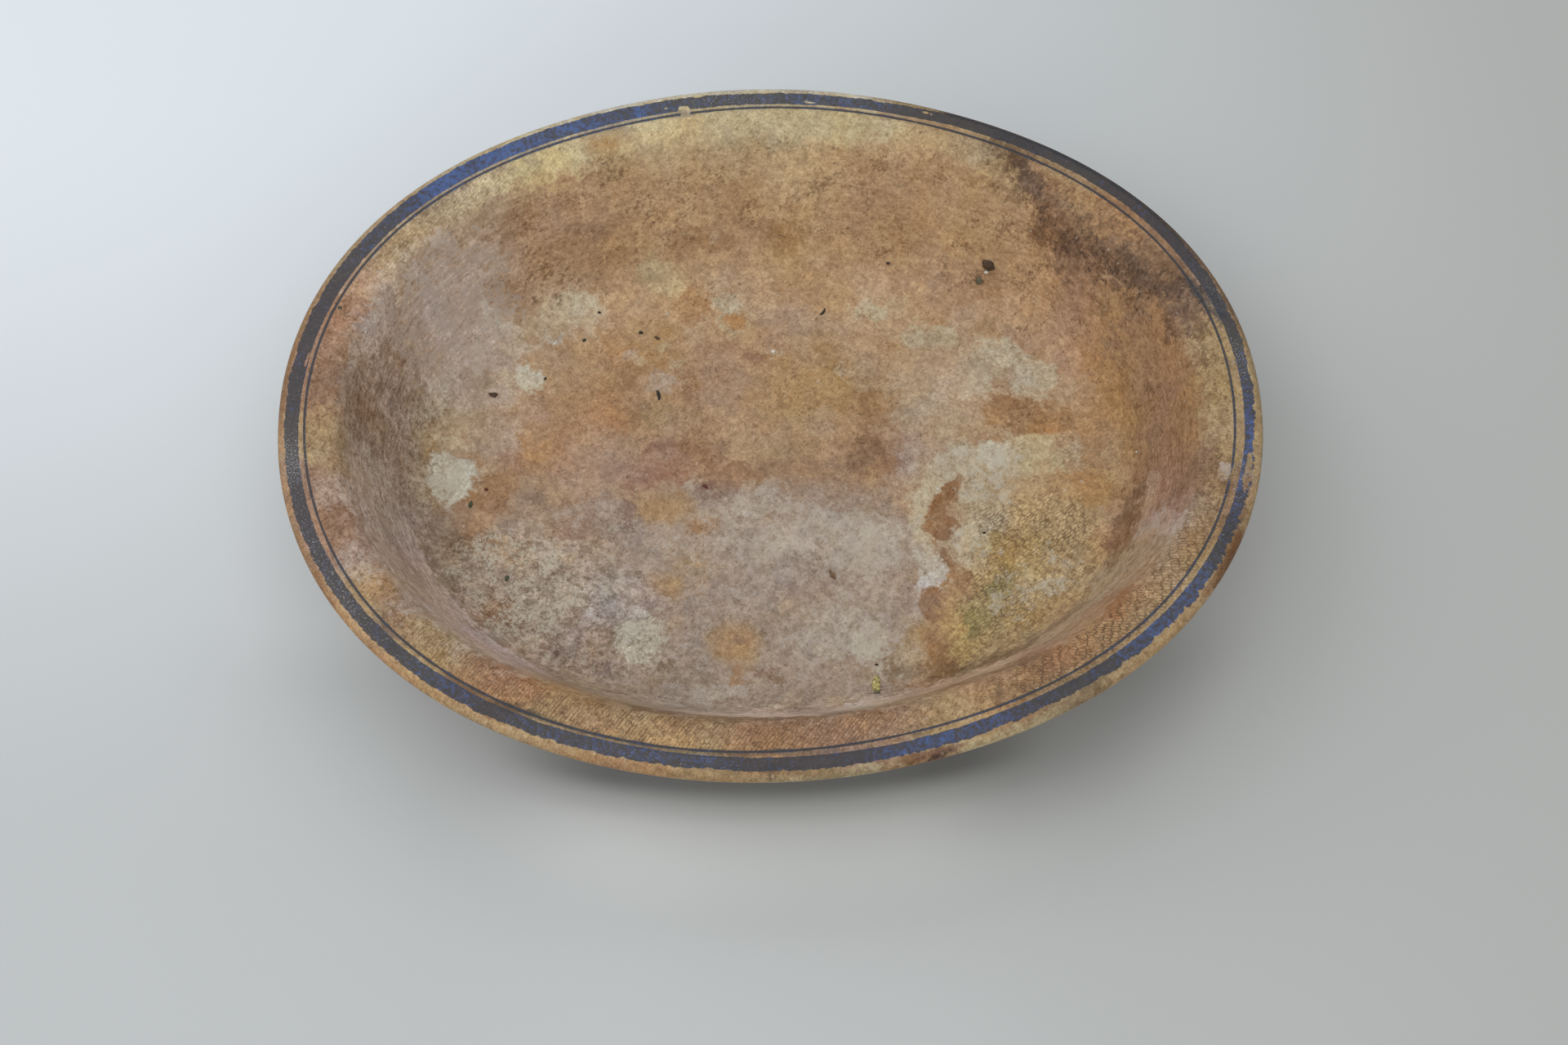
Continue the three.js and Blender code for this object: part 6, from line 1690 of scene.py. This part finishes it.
    crust_n = g.noise(spun, 250.0, 4.0, 0.88)
    crust = g.step(g.math("ADD", crust_n, g.math("MULTIPLY", lime, 0.40)), 0.64, 0.80)
    seed = g.noise(spun, 1150.0, 3.0, 0.85)
    body_of = g.step(seed, 0.44, 0.54)
    fill = g.math("ADD", g.math("MULTIPLY", body_of, dab), g.math("SUBTRACT", 1.0, dab))
    gap = g.math("MULTIPLY", g.math("SUBTRACT", 1.0, body_of), g.math("MULTIPLY", g.math("MULTIPLY", dab, lime), 0.75))
    colour = g.mix(gap, colour, g.times(tint, (0.45, 0.40, 0.36)))
    chalk = g.math("MULTIPLY", crust, fill)
    colour = g.mix(g.math("MULTIPLY", chalk, 0.85), colour, (0.520, 0.468, 0.372))

    rough = g.math("ADD", 0.46, g.math("MULTIPLY", mott, 0.16))
    rough = g.math("ADD", rough, g.math("MULTIPLY", g.math("MAXIMUM", g.math("MAXIMUM", chalk, powder), black), 0.30), clamp=True)
    height = g.math("ADD", g.math("MULTIPLY", grit, 0.35), g.math("MULTIPLY", mott, 0.5))
    height = g.math("ADD", height, g.math("MULTIPLY", chalk, 0.8))
    height = g.math("ADD", height, g.math("MULTIPLY", powder, 0.25))
    height = g.math("SUBTRACT", height, g.math("MULTIPLY", lines, 0.35))
    return colour, rough, height, (at, strip, mott, grit)


g = Graph("stained_glaze")
stained = g.done(*glaze_layers(g)[:3])
g = Graph("outer_glaze")
outer_stained = g.done(*glaze_layers(g, outside=True)[:3])

g = Graph("worn_cobalt")
colour, rough, height, (at, strip, mott, grit) = glaze_layers(g)
cover, blue, dust = g.split(g.attribute("paint"))
strokes = g.noise(g.mapping(strip, (0.95, 0.80, 1.0), (0.0, 0.0, math.radians(20))), 1.0, 5.0, 0.78)
fray = g.noise(at, 1900.0, 3.0, 0.75)
have = g.step(g.math("ADD", cover, g.math("MULTIPLY", g.math("SUBTRACT", fray, 0.5), 1.1)), 0.38, 0.60)
hue = g.math("ADD", g.math("MULTIPLY", blue, 0.46), g.math("MULTIPLY", g.math("SUBTRACT", strokes, 0.5), 2.3))
hue = g.math("MULTIPLY", g.step(hue, 0.13, 0.55), g.step(blue, 0.03, 0.34, 0.0, 0.9))
ink = g.mix(hue, (0.036, 0.038, 0.046), (0.036, 0.070, 0.180))
ink = g.mix(g.math("MULTIPLY", hue, g.step(blue, 0.70, 1.0, 0.0, 0.62)), ink, (0.042, 0.120, 0.360))
ink = g.mix(g.math("MULTIPLY", dust, 0.20), ink, (0.170, 0.165, 0.178))
ink = g.scale(ink, g.math("ADD", 0.30, g.math("ADD", g.math("MULTIPLY", strokes, 0.75), g.math("MULTIPLY", fray, 0.65))))
wash = g.mix(0.05, ink, colour)
colour = g.mix(g.math("MULTIPLY", have, 0.97), colour, wash)
dust_n = g.noise(at, 2300.0, 3.0, 0.75)
powder = g.step(g.math("ADD", dust_n, g.math("MULTIPLY", dust, 0.25)), 0.675, 0.775)
colour = g.mix(g.math("MULTIPLY", powder, 0.54), colour, (0.44, 0.43, 0.42))
rough = g.math("ADD", rough, g.math("MULTIPLY", powder, 0.2), clamp=True)
height = g.math("ADD", height, g.math("ADD", g.math("MULTIPLY", have, 0.25), g.math("MULTIPLY", powder, 0.4)))
cobalt = g.done(colour, rough, height)

g = Graph("dried_dirt_and_painted_glint")
at = g.place()
rub = g.noise(at, 2600.0, 3.0, 0.7)
colour = g.scale(g.attribute("tint"), g.math("ADD", 0.55, g.math("MULTIPLY", rub, 0.9)))
specks.data.materials.append(g.done(colour, g.math("ADD", 0.5, g.math("MULTIPLY", rub, 0.35)), rub, 0.5, 0.0002, 0.25))

glaze_upper.data.materials.append(stained)
for ob in (glaze_outer, glaze_base):
    ob.data.materials.append(outer_stained)
for ob in (rim_band, rim_line):
    ob.data.materials.append(cobalt)


def clay_material(name, light, dark, dirt):
    g = Graph(name)
    at = g.place()
    big = g.noise(at, 120.0, 5.0, 0.6)
    fine = g.noise(at, 1300.0, 4.0, 0.65)
    pits = g.cells(at, 900.0, "F1", 1.0, flat=False)
    colour = g.mix(g.step(big, 0.35, 0.68), light, dark)
    colour = g.scale(colour, g.math("ADD", 0.62, g.math("MULTIPLY", fine, 0.75)))
    smear = g.step(g.math("ADD", g.noise(at, 300.0, 6.0, 0.7), g.math("MULTIPLY", big, 0.3)), 0.58, 0.80)
    colour = g.mix(g.math("MULTIPLY", smear, 0.7), colour, dirt)
    colour = g.mix(g.math("MULTIPLY", g.step(pits, 0.0, 0.22, 1.0, 0.0), 0.6), colour, dirt)
    rough = g.math("ADD", 0.72, g.math("MULTIPLY", fine, 0.2), clamp=True)
    height = g.math("ADD", g.math("MULTIPLY", fine, 0.6), g.step(pits, 0.0, 0.3))
    return g.done(colour, rough, height, 0.5, 0.0004, 0.25)


body.data.materials.append(clay_material("buff_clay", (0.52, 0.42, 0.29), (0.44, 0.33, 0.21), (0.24, 0.16, 0.10)))
foot.data.materials.append(clay_material("worn_foot_clay", (0.42, 0.33, 0.22), (0.33, 0.235, 0.145), (0.12, 0.08, 0.05)))

# ------------------------------------------------------------------------------------------------
# Stage: floor, light, camera
# ------------------------------------------------------------------------------------------------
bpy.context.scene.view_settings.view_transform = "Standard"

me = bpy.data.meshes.new("floor")
me.from_pydata([(-6, -6, 0), (6, -6, 0), (6, 6, 0), (-6, 6, 0)], [], [(0, 1, 2, 3)])
floor = bpy.data.objects.new("floor", me)
bpy.context.scene.collection.objects.link(floor)
g = Graph("floor_paint")
sep = g.node("ShaderNodeSeparateXYZ")
g.feed(sep.inputs[0], g.place())
across, along = sep.outputs[0], sep.outputs[1]
# painted light falloff: the floor is painted lighter at the back left and darker towards the right and the front
far_tone = g.mix(g.step(across, -0.11, 0.235), (0.745, 0.785, 0.825), (0.47, 0.475, 0.455))
near_tone = g.mix(g.step(across, -0.10, 0.28), (0.525, 0.540, 0.542), (0.455, 0.460, 0.438))
tone = g.mix(g.step(along, -0.10, 0.12), near_tone, far_tone)
# painted shadow round the dish: a dark contact shadow close under the front of the rim, a painted lighter band just
# beyond it at the front (lift), and painted shade on the floor beside the front left and front right
reach = g.math("POWER", g.math("ADD", g.math("POWER", g.math("DIVIDE", across, 0.108), 2.0), g.math("POWER", g.math("DIVIDE", g.math("ADD", along, 0.010), 0.082), 2.0)), 0.5)
wide = g.math("POWER", g.math("ADD", g.math("POWER", g.math("DIVIDE", across, 0.150), 2.0), g.math("POWER", g.math("DIVIDE", g.math("ADD", along, 0.010), 0.082), 2.0)), 0.5)
painted_contact_shadow = g.math("MULTIPLY", g.step(wide, 0.80, 0.87, 0.52, 0.0), g.step(along, -0.045, -0.025, 1.0, 0.0))
painted_contact_shadow = g.math("MULTIPLY", painted_contact_shadow, g.step(g.math("ABSOLUTE", across), 0.035, 0.070, 1.0, 0.0))
lift = g.math("MULTIPLY", g.step(wide, 0.84, 0.94, 0.0, 0.36), g.step(wide, 0.96, 1.24, 1.0, 0.1))
lift = g.math("MULTIPLY", lift, g.math("MULTIPLY", g.step(along, -0.085, -0.055, 1.0, 0.0), g.step(g.math("ABSOLUTE", across), 0.03, 0.085, 1.0, 0.0)))
shade = g.math("MULTIPLY", g.step(reach, 0.92, 1.18, 0.24, 0.0), g.step(across, 0.025, 0.06))
shade = g.math("ADD", shade, g.math("MULTIPLY", g.step(reach, 0.95, 1.45, 0.13, 0.0), g.step(across, -0.07, -0.02, 1.0, 0.0)))
shade = g.math("MULTIPLY", shade, g.step(along, -0.050, -0.030, 1.0, 0.0))
tone = g.scale(tone, g.math("SUBTRACT", g.math("ADD", 1.0, lift), g.math("ADD", painted_contact_shadow, shade)))
floor.data.materials.append(g.done(tone, g.math("ADD", 0.62, g.math("MULTIPLY", g.noise(g.place(), 300.0, 3.0), 0.1)), g.noise(g.place(), 420.0, 4.0, 0.6), 0.05, 0.0004, 0.2))

world = bpy.data.worlds.new("studio")
bpy.context.scene.world = world
world.use_nodes = True
bg = world.node_tree.nodes["Background"]
bg.inputs["Color"].default_value = (0.92, 0.96, 1.0, 1)
bg.inputs["Strength"].default_value = 0.45


def area(name, where, aim, size, power, colour):
    li = bpy.data.lights.new(name, "AREA")
    li.shape = "RECTANGLE"
    li.size, li.size_y = size
    li.energy = power
    li.color = colour
    ob = bpy.data.objects.new(name, li)
    bpy.context.scene.collection.objects.link(ob)
    ob.location = where
    to = np.array(aim) - np.array(where)
    ob.rotation_euler = Vector(to).to_track_quat("-Z", "Y").to_euler()
    return ob


area("window", (-0.75, 0.25, 0.75), (-0.1, 0.0, 0), (0.9, 0.8), 3.2, (0.93, 0.97, 1.0))
area("ceiling", (-0.15, -0.05, 1.3), (0, 0, 0), (1.5, 1.5), 7.2, (1.0, 0.99, 0.97))
area("front_fill", (0.12, -0.95, 0.6), (0, 0, 0.02), (1.1, 0.7), 2.6, (1.0, 0.985, 0.96))

cam = bpy.data.cameras.new("camera")
cam.sensor_fit = "HORIZONTAL"
cam.sensor_width = 36.0
cam.lens = 3400.0 / 1920.0 * 36.0
cam.clip_start, cam.clip_end = 0.01, 30.0
cam_ob = bpy.data.objects.new("camera", cam)
bpy.context.scene.collection.objects.link(cam_ob)
yaw = math.radians(-1.189)
cx, cy, cz = 3.96, -282.5, 615.47
cam_ob.location = ((cx * math.cos(yaw) - cy * math.sin(yaw)) * MM, (cx * math.sin(yaw) + cy * math.cos(yaw)) * MM, cz * MM)
cam_ob.rotation_euler = (math.radians(90.0 - 66.0), 0.0, yaw)
bpy.context.scene.camera = cam_ob
